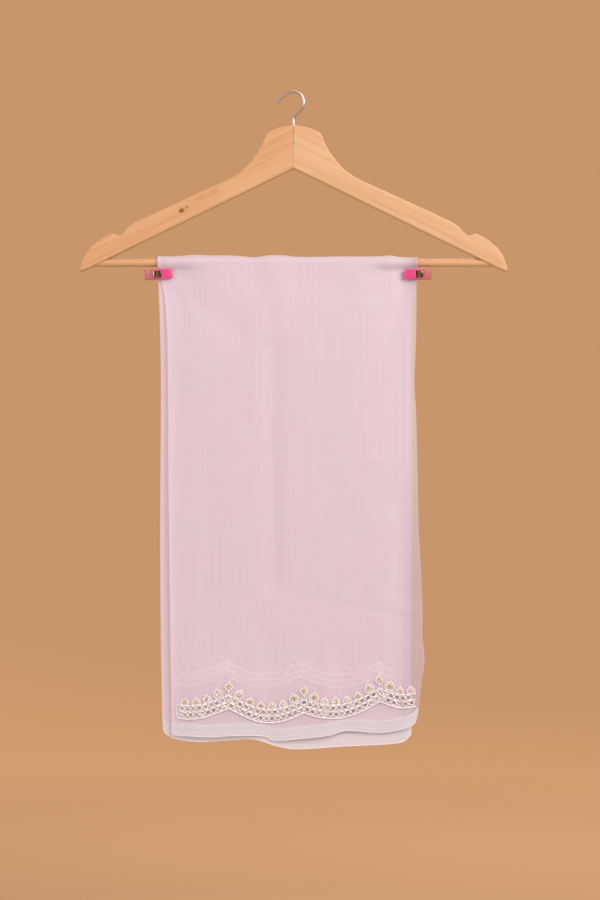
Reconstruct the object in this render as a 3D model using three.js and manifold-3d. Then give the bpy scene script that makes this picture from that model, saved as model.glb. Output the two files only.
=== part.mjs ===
// An organza saree, folded into a narrow stack and hung over the bar of a flat wooden hanger.
// Two small sewing clips pinch the stack just under the bar, one at each end of it.
// Millimetres. +X is the viewer's right, +Y is away from the viewer and +Z is up.
// The origin is the inside top of the wire hook, where it bears on a rail.
import * as THREE from "three";
import { mergeVertices } from "three/addons/utils/BufferGeometryUtils.js";
import Module from "manifold-3d";

const wasm = await Module();
wasm.setup();

// Air left between pieces that touch on the real thing
const GAP = 0.3;

// Hook: one bent wire
const WIRE_RADIUS = 1.4;
const HOOK_RADIUS = 10.9;
const HOOK_CENTRE_Z = WIRE_RADIUS - HOOK_RADIUS;
const HOOK_START = THREE.MathUtils.degToRad(-43);
const HOOK_END = THREE.MathUtils.degToRad(128);
const HOOK_LEG = 14.3;
const STEM_BEND_Z = -25.5;
const STEM_BEND_REACH = 2.4;
const STEM_BOTTOM_Z = -53;
const WIRE_SIDES = 8;
const WIRE_STEPS = 44;

// Hanger: two flat arms glued at the middle, and a dowel let into both
const ARM_THICKNESS = 12;
const ARM_ROUND = 2;
const APEX_Z = -78.7;
const UNDERSIDE_FALL = 0.4877;
const UNDERSIDE_END_X = 215.2;
const HEAD_TOP_Z = -33.5;
const HEAD = [
  { x: 4.8, z: -34.2 },
  { x: 18.6, z: -37.6 },
];
const NECK = [
  { x: 28.9, z: -43.3 },
  { x: 33.2, z: -53.6 },
  { x: 39.2, z: -63.9 },
  { x: 49.6, z: -76.8 },
  { x: 61.6, z: -86.4 },
  { x: 78.8, z: -94.9 },
];
const NOTCH = [
  { x: 165.5, z: -134.7 },
  { x: 172.6, z: -140.1 },
  { x: 178.0, z: -146.3 },
  { x: 182.1, z: -148.3 },
  { x: 186.4, z: -147.0 },
];
const NOSE = [
  { x: 188.6, z: -146.4 },
  { x: 198.2, z: -150.5 },
  { x: 210.2, z: -159.7 },
  { x: 218.0, z: -170.2 },
  { x: 222.5, z: -182.9 },
];
const TIP = [
  { x: 221.9, z: -185.0 },
  { x: 219.9, z: -185.5 },
];
const BAR_RADIUS = 4.2;
const BAR_Z = -176.4;
const BAR_END_X = 212.5;
const BAR_SIDES = 16;

// Cloth: three walls of one folded stack, each made from the same surface moved out
const WALL = 1.0;
const SLACK = 0.25;
const HEM_EXTRA = 0.4;
const HEM_BAND = 13;
const HEM_LIP = 1.5;
const FOLD_RADIUS = BAR_RADIUS + 0.4;
const PINCH_ANGLE = Math.PI / 4;
const PINCH_RADIUS = 5;
const HALF_SLIT = 0.15;
const LOWER_SLIT = 0.6;
const SLIT_CLOSES_OVER = 70;
const PINCH_OPENS = { from: 20, over: 130 };
const SLACK_GROWS = { from: 30, over: 60 };

// Thickness of the hidden folds, at the bar, in the body and towards the sides
const CORE = {
  atBar: 1.0,
  body: 3.6,
  edge: 2.1,
  sideWidth: 26,
  bandWidth: 14,
  fills: { from: 18, over: 100 },
  thins: { from: 400, over: 80 },
  thinned: 0.55,
};

// Grid of the walls: columns across, and rows down each side of the bar
const HALF_TURN_STEPS = 6;
const COLUMN_STEP = 14;
const WIDE_COLUMN_STEP = 28;
const WIDE_COLUMNS_WITHIN = 66;
const FIRST_COLUMN_X = -121;
const LAST_COLUMN_X = 103;
const NEAR_ROWS = [0, 2.2, 4.4, 6.4, 8.3, 12, 20, 42];
const FIRST_FAR_ROW = 70;
const FAR_ROW_STEP = 52;
const LAST_FAR_ROW = 382;
const ABOVE_BORDER = 62;
const CORE_LAST_ROW = 36;

// Where the clips pinch: full inside of the first distance, none inside of the second
const PINCH = {
  left: { full: -124, free: -80 },
  right: { full: 112, free: 68 },
};

// Side edges of each fold on the front, from the bar down
const SECOND_LEFT = [
  { z: -170, x: -142.6 },
  { z: -195, x: -139.5 },
  { z: -257, x: -137.9 },
  { z: -320, x: -137.4 },
  { z: -444, x: -139.5 },
  { z: -527, x: -138.5 },
  { z: -610, x: -137.4 },
  { z: -653, x: -136.4 },
];
const OUTER_RIGHT = [
  { z: -174, x: 129.1 },
  { z: -195, x: 126.0 },
  { z: -278, x: 125.0 },
  { z: -361, x: 127.1 },
  { z: -444, x: 129.1 },
  { z: -527, x: 132.3 },
  { z: -594, x: 137.0 },
  { z: -630, x: 132.3 },
  { z: -653, x: 127.1 },
];
const OUTER_LEFT = [
  { z: -176, x: -134.0 },
  { z: -195, x: -132.0 },
  { z: -216, x: -128.0 },
  { z: -260, x: -126.6 },
];
const SECOND_RIGHT = [
  { z: -176, x: 124.5 },
  { z: -216, x: 122.5 },
];
const CORE_LEFT = [
  { z: -176, x: -131.5 },
  { z: -216, x: -127.0 },
  { z: -260, x: -125.6 },
];
const CORE_RIGHT = [
  { z: -176, x: 121.0 },
  { z: -216, x: 118.0 },
  { z: -260, x: 116.7 },
];

// Lower edges of the folds on the front, and how much higher the back of each ends
const OUTER_HEM = [
  { x: -126.6, z: -667.0 },
  { x: -86.6, z: -668.9 },
  { x: -60.7, z: -667.5 },
  { x: -30.0, z: -668.6 },
  { x: -20.0, z: -672.8 },
  { x: 6.7, z: -671.0 },
  { x: 37.9, z: -667.3 },
  { x: 53.4, z: -662.9 },
  { x: 89.7, z: -664.8 },
  { x: 110.5, z: -661.6 },
  { x: 123.0, z: -657.0 },
  { x: 127.5, z: -652.0 },
];
const SECOND_HEM = [
  { x: -137.0, z: -648.0 },
  { x: -135.4, z: -661.0 },
  { x: -132.3, z: -665.8 },
  { x: -124.0, z: -669.9 },
  { x: -99.1, z: -673.0 },
  { x: -58.6, z: -669.2 },
  { x: -41.0, z: -670.5 },
  { x: -16.1, z: -679.3 },
  { x: 1.6, z: -682.2 },
  { x: 53.4, z: -679.3 },
  { x: 103.2, z: -676.5 },
  { x: 115.7, z: -673.6 },
  { x: 122.5, z: -666.0 },
];
const CORE_END = [
  { x: -125.6, z: -634.0 },
  { x: 116.7, z: -637.0 },
];
const BACK_RISE = 9;
const BACK_INSET = 1.5;
const BACK_RIGHT_LIMIT = 125.5;
const BACK_NARROWS_OVER = 60;

// Soft troughs in the outer panel, each along a line that starts and ends d below the bar
const FOLD_HEIGHT = 2.2;
const FOLDS_RISE = { from: 10, over: 70 };
const FOLDS_SINK = { from: 380, over: 100 };
const FOLDS_SUNK = 0.7;
const TROUGHS = [
  { x0: -22, d0: 90, x1: -22, d1: 330, width: 11, depth: 1.7 },
  { x0: -124, d0: 12, x1: -56, d1: 74, width: 13, depth: 1.5 },
  { x0: 104, d0: 10, x1: 40, d1: 34, width: 13, depth: 1.4 },
  { x0: 100, d0: 60, x1: 96, d1: 250, width: 15, depth: 0.9 },
  { x0: -96, d0: 150, x1: -88, d1: 400, width: 16, depth: 0.9 },
  { x0: -22, d0: 395, x1: -26, d1: 492, width: 10, depth: 1.4 },
  { x0: 48, d0: 400, x1: 54, d1: 492, width: 12, depth: 1.4 },
];
const BASE_WAVE = { height: 1.4, length: 240, peakX: -70, from: 330, over: 150 };
const HEM_WAVE = { height: 1.2, length: 112, peakX: -82, from: 350, over: 130 };
const BILLOW = { x: 132, d: 412, wide: 22, tall: 62, height: 3.2 };

// Scalloped border of sequins, beads and thread, sewn on above the hem
const BORDER = {
  startX: -120,
  endX: 124.5,
  cuspX: -67.4,
  pitch: 78.3,
  low: 18,
  scallop: 11,
  band: 14,
  petalPitch: 11.2,
  petal: 7,
  finial: 6,
  finialWidth: 4.5,
  thickness: 1.0,
  columns: 104,
};

// Sewing clips: two plastic jaws and a steel spring that is threaded through both
const CLIP = {
  length: 28.8,
  height: 9.8,
  z: -189.5,
  innerY: 4.35,
  outerY: 6.9,
  noseY: 5.6,
  tailInnerY: 4.9,
  heelInnerY: 3.2,
  round: 0.3,
  springFrom: 8.8,
  springTo: 17.4,
  springThickness: 0.8,
  springHeight: 6.8,
  slotRoom: 0.4,
};
const LEFT_CLIP = { name: "clip_left", tailX: -154.8, towards: 1, tilt: 0.02 };
const RIGHT_CLIP = { name: "clip_right", tailX: 142.8, towards: -1, tilt: 0.0 };

const COLOURS = {
  organza: 0xe8cfd4,
  organzaInner: 0xdcc3c6,
  border: 0xe2cdbd,
  woodLeft: 0xe6ae80,
  woodRight: 0xeab78e,
  dowel: 0xe2aa7d,
  steel: 0xb9bcbf,
  jaw: 0xf34f94,
};

const group = new THREE.Group();

function add(name, geometry, finish) {
  const mesh = new THREE.Mesh(geometry, new THREE.MeshStandardMaterial(finish));
  mesh.name = name;
  group.add(mesh);
  return mesh;
}

function mix(a, b, share) {
  return a + (b - a) * share;
}

function smooth(value) {
  const t = THREE.MathUtils.clamp(value, 0, 1);
  return t * t * (3 - 2 * t);
}

// The share of a change that is done at d, where it starts and how long it takes are known
function share({ from, over }, d) {
  return smooth((d - from) / over);
}

// Reads one column of a table at a value of another column, in straight steps between its rows
function read(table, from, to, value) {
  const rising = [...table].sort((a, b) => a[from] - b[from]);
  const last = rising.length - 1;
  if (value <= rising[0][from]) return rising[0][to];
  if (value >= rising[last][from]) return rising[last][to];
  const next = rising.findIndex((row) => row[from] > value);
  const [low, high] = [rising[next - 1], rising[next]];
  return mix(low[to], high[to], (value - low[from]) / (high[from] - low[from]));
}

// Booleans

function toSolid(geometry) {
  const bare = geometry.clone();
  bare.deleteAttribute("normal");
  bare.deleteAttribute("uv");
  const merged = mergeVertices(bare, 1e-4);
  return new wasm.Manifold(
    new wasm.Mesh({
      numProp: 3,
      vertProperties: new Float32Array(merged.attributes.position.array),
      triVerts: new Uint32Array(merged.index.array),
    }),
  );
}

function toGeometry(solid) {
  const mesh = solid.getMesh();
  const geometry = new THREE.BufferGeometry();
  geometry.setAttribute("position", new THREE.BufferAttribute(mesh.vertProperties, mesh.numProp));
  geometry.setIndex(new THREE.BufferAttribute(mesh.triVerts, 1));
  return geometry;
}

// A box placed by its middle, for cutting
function block(sx, sy, sz, x, y, z) {
  return toSolid(new THREE.BoxGeometry(sx, sy, sz).translate(x, y, z));
}

// Hook

class WireArc extends THREE.Curve {
  getPoint(t, target = new THREE.Vector3()) {
    const angle = mix(HOOK_START, HOOK_END, t);
    const x = HOOK_RADIUS * Math.cos(angle);
    const z = HOOK_CENTRE_Z + HOOK_RADIUS * Math.sin(angle);
    return target.set(x, 0, z);
  }
}

function hookGeometry() {
  const arc = new WireArc();
  const start = arc.getPoint(0);
  const end = arc.getPoint(1);
  const slope = new THREE.Vector3(-start.x, 0, STEM_BEND_Z - start.z).normalize();
  const bend = new THREE.Vector3(0, 0, STEM_BEND_Z);
  const bendTop = bend.clone().addScaledVector(slope, -STEM_BEND_REACH);
  const bendFoot = new THREE.Vector3(0, 0, STEM_BEND_Z - STEM_BEND_REACH);
  const leg = new THREE.Vector3(-Math.sin(HOOK_END), 0, Math.cos(HOOK_END));
  const path = new THREE.CurvePath();
  path.add(new THREE.LineCurve3(new THREE.Vector3(0, 0, STEM_BOTTOM_Z), bendFoot));
  path.add(new THREE.QuadraticBezierCurve3(bendFoot, bend, bendTop));
  path.add(new THREE.LineCurve3(bendTop, start));
  path.add(arc);
  path.add(new THREE.LineCurve3(end, end.clone().addScaledVector(leg, HOOK_LEG)));
  const section = new THREE.Shape();
  for (let side = 0; side < WIRE_SIDES; side++) {
    const angle = (side / WIRE_SIDES) * 2 * Math.PI;
    const point = [WIRE_RADIUS * Math.cos(angle), WIRE_RADIUS * Math.sin(angle)];
    if (side === 0) section.moveTo(...point);
    else section.lineTo(...point);
  }
  return new THREE.ExtrudeGeometry(section, { steps: WIRE_STEPS, extrudePath: path });
}

// Hanger

function curve(rows, perSpan) {
  const line = new THREE.SplineCurve(rows.map((row) => new THREE.Vector2(row.x, row.z)));
  return line.getPoints((rows.length - 1) * perSpan);
}

function halfOutline() {
  const corners = (rows) => rows.map((row) => new THREE.Vector2(row.x, row.z));
  return [
    ...corners(HEAD),
    ...curve(NECK, 2),
    ...curve(NOTCH, 2),
    ...curve(NOSE, 2),
    ...corners(TIP),
    new THREE.Vector2(UNDERSIDE_END_X, APEX_Z - UNDERSIDE_FALL * UNDERSIDE_END_X),
  ];
}

// Both arms as one rounded board, standing in the XZ plane
function boardGeometry() {
  const right = halfOutline();
  const left = right.map((p) => new THREE.Vector2(-p.x, p.y)).reverse();
  const top = new THREE.Vector2(0, HEAD_TOP_Z);
  const apex = new THREE.Vector2(0, APEX_Z);
  const board = new THREE.ExtrudeGeometry(new THREE.Shape([top, ...right, apex, ...left]), {
    depth: ARM_THICKNESS - 2 * ARM_ROUND,
    bevelThickness: ARM_ROUND,
    bevelSize: ARM_ROUND,
    bevelOffset: -ARM_ROUND,
    bevelSegments: 2,
  });
  board.translate(0, 0, ARM_ROUND - ARM_THICKNESS / 2);
  return board.rotateX(Math.PI / 2);
}

function dowelGeometry(radius, length) {
  return new THREE.CylinderGeometry(radius, radius, length, BAR_SIDES)
    .rotateZ(Math.PI / 2)
    .translate(0, 0, BAR_Z);
}

function stemHole() {
  const radius = WIRE_RADIUS + GAP;
  const bottom = STEM_BOTTOM_Z - GAP;
  const hole = new THREE.CylinderGeometry(radius, radius, -bottom, WIRE_SIDES * 2);
  return toSolid(hole.rotateX(Math.PI / 2).translate(0, 0, bottom / 2));
}

function makeHanger() {
  const sockets = toSolid(dowelGeometry(BAR_RADIUS + GAP, 2 * (BAR_END_X + GAP)));
  const board = toSolid(boardGeometry()).subtract(sockets).subtract(stemHole());
  const room = 3 * UNDERSIDE_END_X;
  for (const [side, name, color] of [
    [-1, "hanger_arm_left", COLOURS.woodLeft],
    [1, "hanger_arm_right", COLOURS.woodRight],
  ]) {
    const half = block(room, room, room, (side * (room + GAP)) / 2, 0, 0);
    add(name, toGeometry(board.intersect(half)), { color, roughness: 0.55, metalness: 0 });
  }
  const dowel = { color: COLOURS.dowel, roughness: 0.5, metalness: 0 };
  add("hanger_bar", dowelGeometry(BAR_RADIUS, 2 * BAR_END_X), dowel);
  add("hanger_hook", hookGeometry(), { color: COLOURS.steel, roughness: 0.25, metalness: 1 });
}

// Cloth surface. side is -1 on the front and 1 on the back, d is the distance below the bar's
// centre, and every wall is this surface moved out by its own offset.

function pinchShare(x) {
  const left = smooth((PINCH.left.free - x) / (PINCH.left.free - PINCH.left.full));
  const right = smooth((x - PINCH.right.free) / (PINCH.right.full - PINCH.right.free));
  return Math.max(left, right);
}

// Half the space between the front and the back where nothing pinches them
function freeHalfSpace(d) {
  return LOWER_SLIT + (FOLD_RADIUS - LOWER_SLIT) * Math.exp(-((d / SLIT_CLOSES_OVER) ** 2));
}

// The same under a clip: round the bar, straight in, and a small arc into the slit
function pinchedHalfSpace(d) {
  const leave = FOLD_RADIUS * Math.sin(PINCH_ANGLE);
  const arcRise = PINCH_RADIUS * Math.sin(PINCH_ANGLE);
  const arcWidth = PINCH_RADIUS * (1 - Math.cos(PINCH_ANGLE));
  const straight = leave - arcWidth - HALF_SLIT;
  const closed = leave + straight + arcRise;
  if (d < leave) return Math.sqrt(FOLD_RADIUS ** 2 - d ** 2);
  if (d < leave + straight) return 2 * leave - d;
  if (d < closed) {
    return HALF_SLIT + PINCH_RADIUS - Math.sqrt(PINCH_RADIUS ** 2 - (closed - d) ** 2);
  }
  return mix(HALF_SLIT, freeHalfSpace(d), share(PINCH_OPENS, d));
}

// How far the cloth swings out towards its hem in one soft wave
function swing(wave, x, d, side) {
  const phase = (2 * Math.PI * (x + wave.peakX * side)) / wave.length;
  return share(wave, d) * wave.height * (1 + Math.cos(phase));
}

function halfSpace(x, d, side) {
  return mix(freeHalfSpace(d), pinchedHalfSpace(d), pinchShare(x)) + swing(BASE_WAVE, x, d, side);
}

// Thickness of the hidden folds: thin over the bar, full in the body, thinner at the sides
function coreThickness(x, d) {
  const inside = Math.min(x - CORE_LEFT.at(-1).x, CORE_RIGHT.at(-1).x - x);
  const full = mix(CORE.edge, CORE.body, smooth(inside / CORE.sideWidth));
  const here = mix(CORE.atBar, full, smooth(1 + inside / CORE.bandWidth));
  const lower = mix(1, CORE.thinned, share(CORE.thins, d));
  return mix(CORE.atBar, here * lower, share(CORE.fills, d));
}

function trough(x, d, fold) {
  const along = new THREE.Vector2(fold.x1 - fold.x0, fold.d1 - fold.d0);
  const from = new THREE.Vector2(x - fold.x0, d - fold.d0);
  const t = THREE.MathUtils.clamp(from.dot(along) / along.lengthSq(), 0, 1);
  const away = from.sub(along.multiplyScalar(t)).length();
  return fold.depth * Math.exp(-((away / fold.width) ** 2));
}

// What the outer panel adds over the folds under it: soft height, less its troughs
function outerRelief(x, d, side) {
  const sunk = mix(1, FOLDS_SUNK, share(FOLDS_SINK, d));
  let height = FOLD_HEIGHT * share(FOLDS_RISE, d) * sunk;
  for (const fold of TROUGHS) height -= trough(x * -side, d, fold);
  const across = ((x - BILLOW.x) / BILLOW.wide) ** 2;
  const down = ((d - BILLOW.d) / BILLOW.tall) ** 2;
  const billow = side < 0 ? BILLOW.height * Math.exp(-across - down) : 0;
  return Math.max(0, height) + swing(HEM_WAVE, x, d, side) + billow;
}

// A point of the stack: x across, a station along the fold, and an offset out of the surface
function stackPoint(x, station, offset) {
  const target = new THREE.Vector3();
  if (station.angle !== undefined) {
    const radius = FOLD_RADIUS + offset;
    const y = -radius * Math.cos(station.angle);
    return target.set(x, y, BAR_Z + radius * Math.sin(station.angle));
  }
  const { side, d } = station;
  const step = 0.05;
  const above = halfSpace(x, Math.max(0, d - step), side);
  const slope = d > 0 ? (halfSpace(x, d + step, side) - above) / (2 * step) : 0;
  const length = Math.hypot(1, slope);
  const y = side * (halfSpace(x, d, side) + offset / length);
  return target.set(x, y, BAR_Z - d + (offset * slope) / length);
}

// Stations of a wall from its front hem, over the bar and down to its back hem. The last rows
// of each leg follow its hem, each at its own height above it.
function stationsFor(hemRows) {
  const leg = (farStep) => {
    const rows = NEAR_ROWS.map((d) => ({ d }));
    for (let d = FIRST_FAR_ROW; d <= LAST_FAR_ROW; d += farStep) rows.push({ d });
    return [...rows, ...hemRows.map((above) => ({ above }))];
  };
  const over = [];
  for (let step = 1; step < HALF_TURN_STEPS; step++) {
    over.push({ angle: (Math.PI * step) / HALF_TURN_STEPS });
  }
  return [
    ...leg(FAR_ROW_STEP).map((row) => ({ ...row, side: -1 })).reverse(),
    ...over,
    ...leg(2 * FAR_ROW_STEP).map((row) => ({ ...row, side: 1 })),
  ];
}

function columnsFor(middleStep) {
  const columns = [];
  for (let x = FIRST_COLUMN_X; x <= LAST_COLUMN_X; ) {
    columns.push({ x });
    x += Math.abs(x) < WIDE_COLUMNS_WITHIN ? middleStep : COLUMN_STEP;
  }
  return [{ left: 1 }, { left: 0.4 }, ...columns, { right: 0.4 }, { right: 1 }];
}

// Puts a grid column and station to real places on one panel
function placeOn(panel, column, station) {
  if (station.angle !== undefined) {
    return { x: columnX(panel, column, BAR_Z, 0), station };
  }
  const guess = columnX(panel, column, BAR_Z - (station.d ?? LAST_FAR_ROW), station.side);
  if (station.d !== undefined) return { x: guess, station };
  const hem = BAR_Z - panel.hem(guess, station.side);
  const x = columnX(panel, column, BAR_Z - hem + station.above, station.side);
  const d = BAR_Z - panel.hem(x, station.side) - station.above;
  return { x, station: { side: station.side, d, above: station.above } };
}

function columnX(panel, column, z, side) {
  if (column.x !== undefined) return column.x;
  const outwards = column.left ?? column.right;
  const [edge, last] = column.left ? [panel.left, FIRST_COLUMN_X] : [panel.right, LAST_COLUMN_X];
  const onFront = read(edge, "z", "x", z);
  if (side <= 0) return mix(last, onFront, outwards);
  const backRight = Math.min(onFront - BACK_INSET, BACK_RIGHT_LIMIT);
  const inward = column.left ? onFront + BACK_INSET : backRight;
  const narrowed = smooth((BAR_Z - z) / BACK_NARROWS_OVER);
  return mix(last, mix(onFront, inward, narrowed), outwards);
}

// A closed wall over a grid of columns and rows. point(i, j, through) gives a place at share
// `through` of its thickness, and rims are the steps round its edge, each with its inset.
function wallGeometry(columns, rows, point, rims) {
  const positions = [];
  const triangles = [];
  const put = (p) => positions.push(p.x, p.y, p.z) / 3 - 1;
  const quad = (a, b, c, d) => triangles.push(a, b, c, a, c, d);
  const grid = (through) => {
    const start = positions.length / 3;
    for (let j = 0; j <= rows; j++) {
      for (let i = 0; i <= columns; i++) put(point(i, j, through));
    }
    return (i, j) => start + j * (columns + 1) + i;
  };
  const inner = grid(0);
  const outer = grid(1);
  for (let j = 0; j < rows; j++) {
    for (let i = 0; i < columns; i++) {
      quad(outer(i, j), outer(i + 1, j), outer(i + 1, j + 1), outer(i, j + 1));
      quad(inner(i, j), inner(i, j + 1), inner(i + 1, j + 1), inner(i + 1, j));
    }
  }
  const loop = [];
  for (let i = 0; i < columns; i++) loop.push([i, 0]);
  for (let j = 0; j < rows; j++) loop.push([columns, j]);
  for (let i = columns; i > 0; i--) loop.push([i, rows]);
  for (let j = rows; j > 0; j--) loop.push([0, j]);
  const rings = [loop.map(([i, j]) => inner(i, j))];
  for (const rim of rims) {
    rings.push(
      loop.map(([i, j]) => {
        const p = point(i, j, rim.through);
        const within = [Math.min(Math.max(i, 1), columns - 1), Math.min(Math.max(j, 1), rows - 1)];
        const inwards = point(...within, rim.through).sub(p).setLength(rim.inset);
        return put(p.add(inwards));
      }),
    );
  }
  rings.push(loop.map(([i, j]) => outer(i, j)));
  for (let ring = 1; ring < rings.length; ring++) {
    const [low, high] = [rings[ring - 1], rings[ring]];
    loop.forEach((_, k) => {
      const next = (k + 1) % loop.length;
      quad(low[k], low[next], high[next], high[k]);
    });
  }
  const geometry = new THREE.BufferGeometry();
  geometry.setAttribute("position", new THREE.Float32BufferAttribute(positions, 3));
  geometry.setIndex(signedVolume(positions, triangles) < 0 ? turned(triangles) : triangles);
  return geometry;
}

function signedVolume(positions, triangles) {
  const corner = (k) => new THREE.Vector3().fromArray(positions, 3 * triangles[k]);
  let volume = 0;
  for (let k = 0; k < triangles.length; k += 3) {
    volume += corner(k).dot(corner(k + 1).cross(corner(k + 2))) / 6;
  }
  return volume;
}

function turned(triangles) {
  const out = [];
  for (let k = 0; k < triangles.length; k += 3) {
    out.push(triangles[k], triangles[k + 2], triangles[k + 1]);
  }
  return out;
}

// The grid of a panel of the stack, with the point of each column, row and share of thickness
function panelGrid(panel) {
  const columns = columnsFor(panel.middleStep);
  const stations = stationsFor(panel.hemRows);
  const point = (i, j, through) => {
    const { x, station } = placeOn(panel, columns[i], stations[j]);
    const [inside, outside] = panel.offsets(x, station.d ?? 0, station.side ?? -1);
    const inBand = station.above !== undefined && station.above <= HEM_BAND;
    const extra = inBand ? panel.hemExtra : 0;
    return stackPoint(x, station, mix(inside, outside + extra, through));
  };
  return { columns, stations, point };
}

function panelGeometry(panel) {
  const { columns, stations, point } = panelGrid(panel);
  return wallGeometry(columns.length - 1, stations.length - 1, point, panel.rims);
}

// Gives how far out the outer face of a panel lies at x and z, read from the panel's own points
function faceReader(panel, side) {
  const { columns, stations, point } = panelGrid(panel);
  const rows = [...stations.keys()].filter((j) => stations[j].side === side);
  const strips = columns.map((_, i) => rows.map((j) => point(i, j, 1)));
  return (x, z) => {
    for (let i = 1; i < strips.length; i++) {
      for (let j = 1; j < rows.length; j++) {
        const [a, b] = [strips[i - 1][j - 1], strips[i][j - 1]];
        const [c, d] = [strips[i][j], strips[i - 1][j]];
        const y = readFacet(a, b, c, x, z) ?? readFacet(a, c, d, x, z);
        if (y !== undefined) return y;
      }
    }
    throw new Error(`the panel has no face at x ${x} and z ${z}`);
  };
}

// The y of one triangle at x and z, or undefined outside of it
function readFacet(a, b, c, x, z) {
  const area = (b.x - a.x) * (c.z - a.z) - (c.x - a.x) * (b.z - a.z);
  const toB = ((x - a.x) * (c.z - a.z) - (c.x - a.x) * (z - a.z)) / area;
  const toC = ((b.x - a.x) * (z - a.z) - (x - a.x) * (b.z - a.z)) / area;
  const slack = 1e-6;
  if (toB < -slack || toC < -slack || toB + toC > 1 + slack) return undefined;
  return a.y + toB * (b.y - a.y) + toC * (c.y - a.y);
}

function hemOf(table) {
  return (x, side) => read(table, "x", "z", x) + (side > 0 ? BACK_RISE : 0);
}

function secondOffsets(x, d) {
  const inside = coreThickness(x, d) + GAP + SLACK * share(SLACK_GROWS, d);
  return [inside, inside + WALL];
}

function outerOffsets(x, d, side) {
  const inside = secondOffsets(x, d)[1] + GAP + outerRelief(x, d, side);
  return [inside, inside + WALL];
}

// Edge of the hidden folds: rounded lips with a nick between each two
function foldedRims(folds, nick) {
  const rims = [{ through: 0.5 / folds / 2, inset: nick / 4 }];
  for (let fold = 1; fold < folds; fold++) {
    rims.push({ through: (fold - 0.3) / folds, inset: nick / 6 });
    rims.push({ through: fold / folds, inset: nick });
    rims.push({ through: (fold + 0.3) / folds, inset: nick / 6 });
  }
  return rims;
}

const outerPanel = {
  left: OUTER_LEFT,
  right: OUTER_RIGHT,
  hem: hemOf(OUTER_HEM),
  hemRows: [ABOVE_BORDER, HEM_BAND + HEM_LIP, HEM_BAND, 0],
  hemExtra: HEM_EXTRA,
  middleStep: COLUMN_STEP,
  offsets: outerOffsets,
  rims: [],
};

const secondPanel = {
  left: SECOND_LEFT,
  right: SECOND_RIGHT,
  hem: hemOf(SECOND_HEM),
  hemRows: [ABOVE_BORDER, HEM_BAND, 0],
  hemExtra: 0,
  middleStep: WIDE_COLUMN_STEP,
  offsets: secondOffsets,
  rims: [],
};

const innerFolds = {
  left: CORE_LEFT,
  right: CORE_RIGHT,
  hem: hemOf(CORE_END),
  hemRows: [CORE_LAST_ROW, 0],
  hemExtra: 0,
  middleStep: WIDE_COLUMN_STEP,
  offsets: (x, d) => [0, coreThickness(x, d)],
  rims: foldedRims(2, 0.9),
};

// Border

function scallopHeight(x) {
  const arch = Math.abs(Math.sin((Math.PI * (x - BORDER.cuspX)) / BORDER.pitch));
  return BORDER.low + BORDER.scallop * (1 - arch);
}

function nearestCusp(x) {
  return x - BORDER.cuspX - Math.round((x - BORDER.cuspX) / BORDER.pitch) * BORDER.pitch;
}

// Height of the border's upper outline over its lower one: band, leaf tips and finials
function borderRise(x) {
  const leaf = Math.abs(Math.cos((Math.PI * nearestCusp(x)) / BORDER.petalPitch));
  const finial = Math.exp(-((nearestCusp(x) / BORDER.finialWidth) ** 2));
  return BORDER.band + BORDER.petal * leaf + BORDER.finial * finial;
}

function borderGeometry(side) {
  const face = faceReader(outerPanel, side);
  const point = (i, j, through) => {
    const onFront = mix(BORDER.startX, BORDER.endX, i / BORDER.columns);
    const x = -side * onFront;
    const above = scallopHeight(onFront) + borderRise(onFront) * j;
    const z = outerPanel.hem(x, side) + above;
    const y = face(x, z) + side * (GAP + through * BORDER.thickness);
    return new THREE.Vector3(x, y, z);
  };
  return wallGeometry(BORDER.columns, 1, point, []);
}

function makeCloth() {
  const cloth = { color: COLOURS.organza, roughness: 0.6, metalness: 0 };
  const inner = { color: COLOURS.organzaInner, roughness: 0.6, metalness: 0 };
  const beads = { color: COLOURS.border, roughness: 0.35, metalness: 0.3 };
  add("saree_outer_panel", panelGeometry(outerPanel), cloth);
  add("saree_second_panel", panelGeometry(secondPanel), cloth);
  add("saree_inner_folds", panelGeometry(innerFolds), inner);
  add("border_front", borderGeometry(-1), beads);
  add("border_back", borderGeometry(1), beads);
}

// Clips. Their plan runs from the tail at 0 to the nose, and is raised by the clip's height.

function raise(outline, height, round) {
  const shape = new THREE.Shape(outline.map(([along, y]) => new THREE.Vector2(along, y)));
  const depth = height - 2 * round;
  const settings = { depth, bevelThickness: round, bevelSize: round, bevelOffset: -round };
  const geometry = round
    ? new THREE.ExtrudeGeometry(shape, { ...settings, bevelSegments: 1 })
    : new THREE.ExtrudeGeometry(shape, { depth, bevelEnabled: false });
  return geometry.translate(0, 0, -depth / 2);
}

function jawOutline() {
  const { length, innerY, outerY, noseY, tailInnerY, heelInnerY, springFrom, springTo } = CLIP;
  const heel = springFrom + 1.8;
  return [
    [0, tailInnerY],
    [springFrom - 3, tailInnerY - 0.4],
    [heel - 1, heelInnerY],
    [heel + 1, heelInnerY],
    [heel + 3, innerY],
    [length, innerY],
    [length, noseY],
    [springTo + 2, outerY],
    [springFrom - 2, outerY],
    [0, outerY - 0.6],
  ];
}

function jawGeometry(side) {
  const jaw = raise(jawOutline(), CLIP.height, CLIP.round);
  const slotLength = CLIP.springThickness + 2 * CLIP.slotRoom;
  const slotX = CLIP.springFrom + CLIP.springThickness / 2;
  const slotHeight = CLIP.springHeight + 2 * CLIP.slotRoom;
  const slot = block(slotLength, 4 * CLIP.outerY, slotHeight, slotX, 0, 0);
  const geometry = toGeometry(toSolid(jaw).subtract(slot));
  return side > 0 ? geometry : geometry.rotateX(Math.PI);
}

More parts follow.
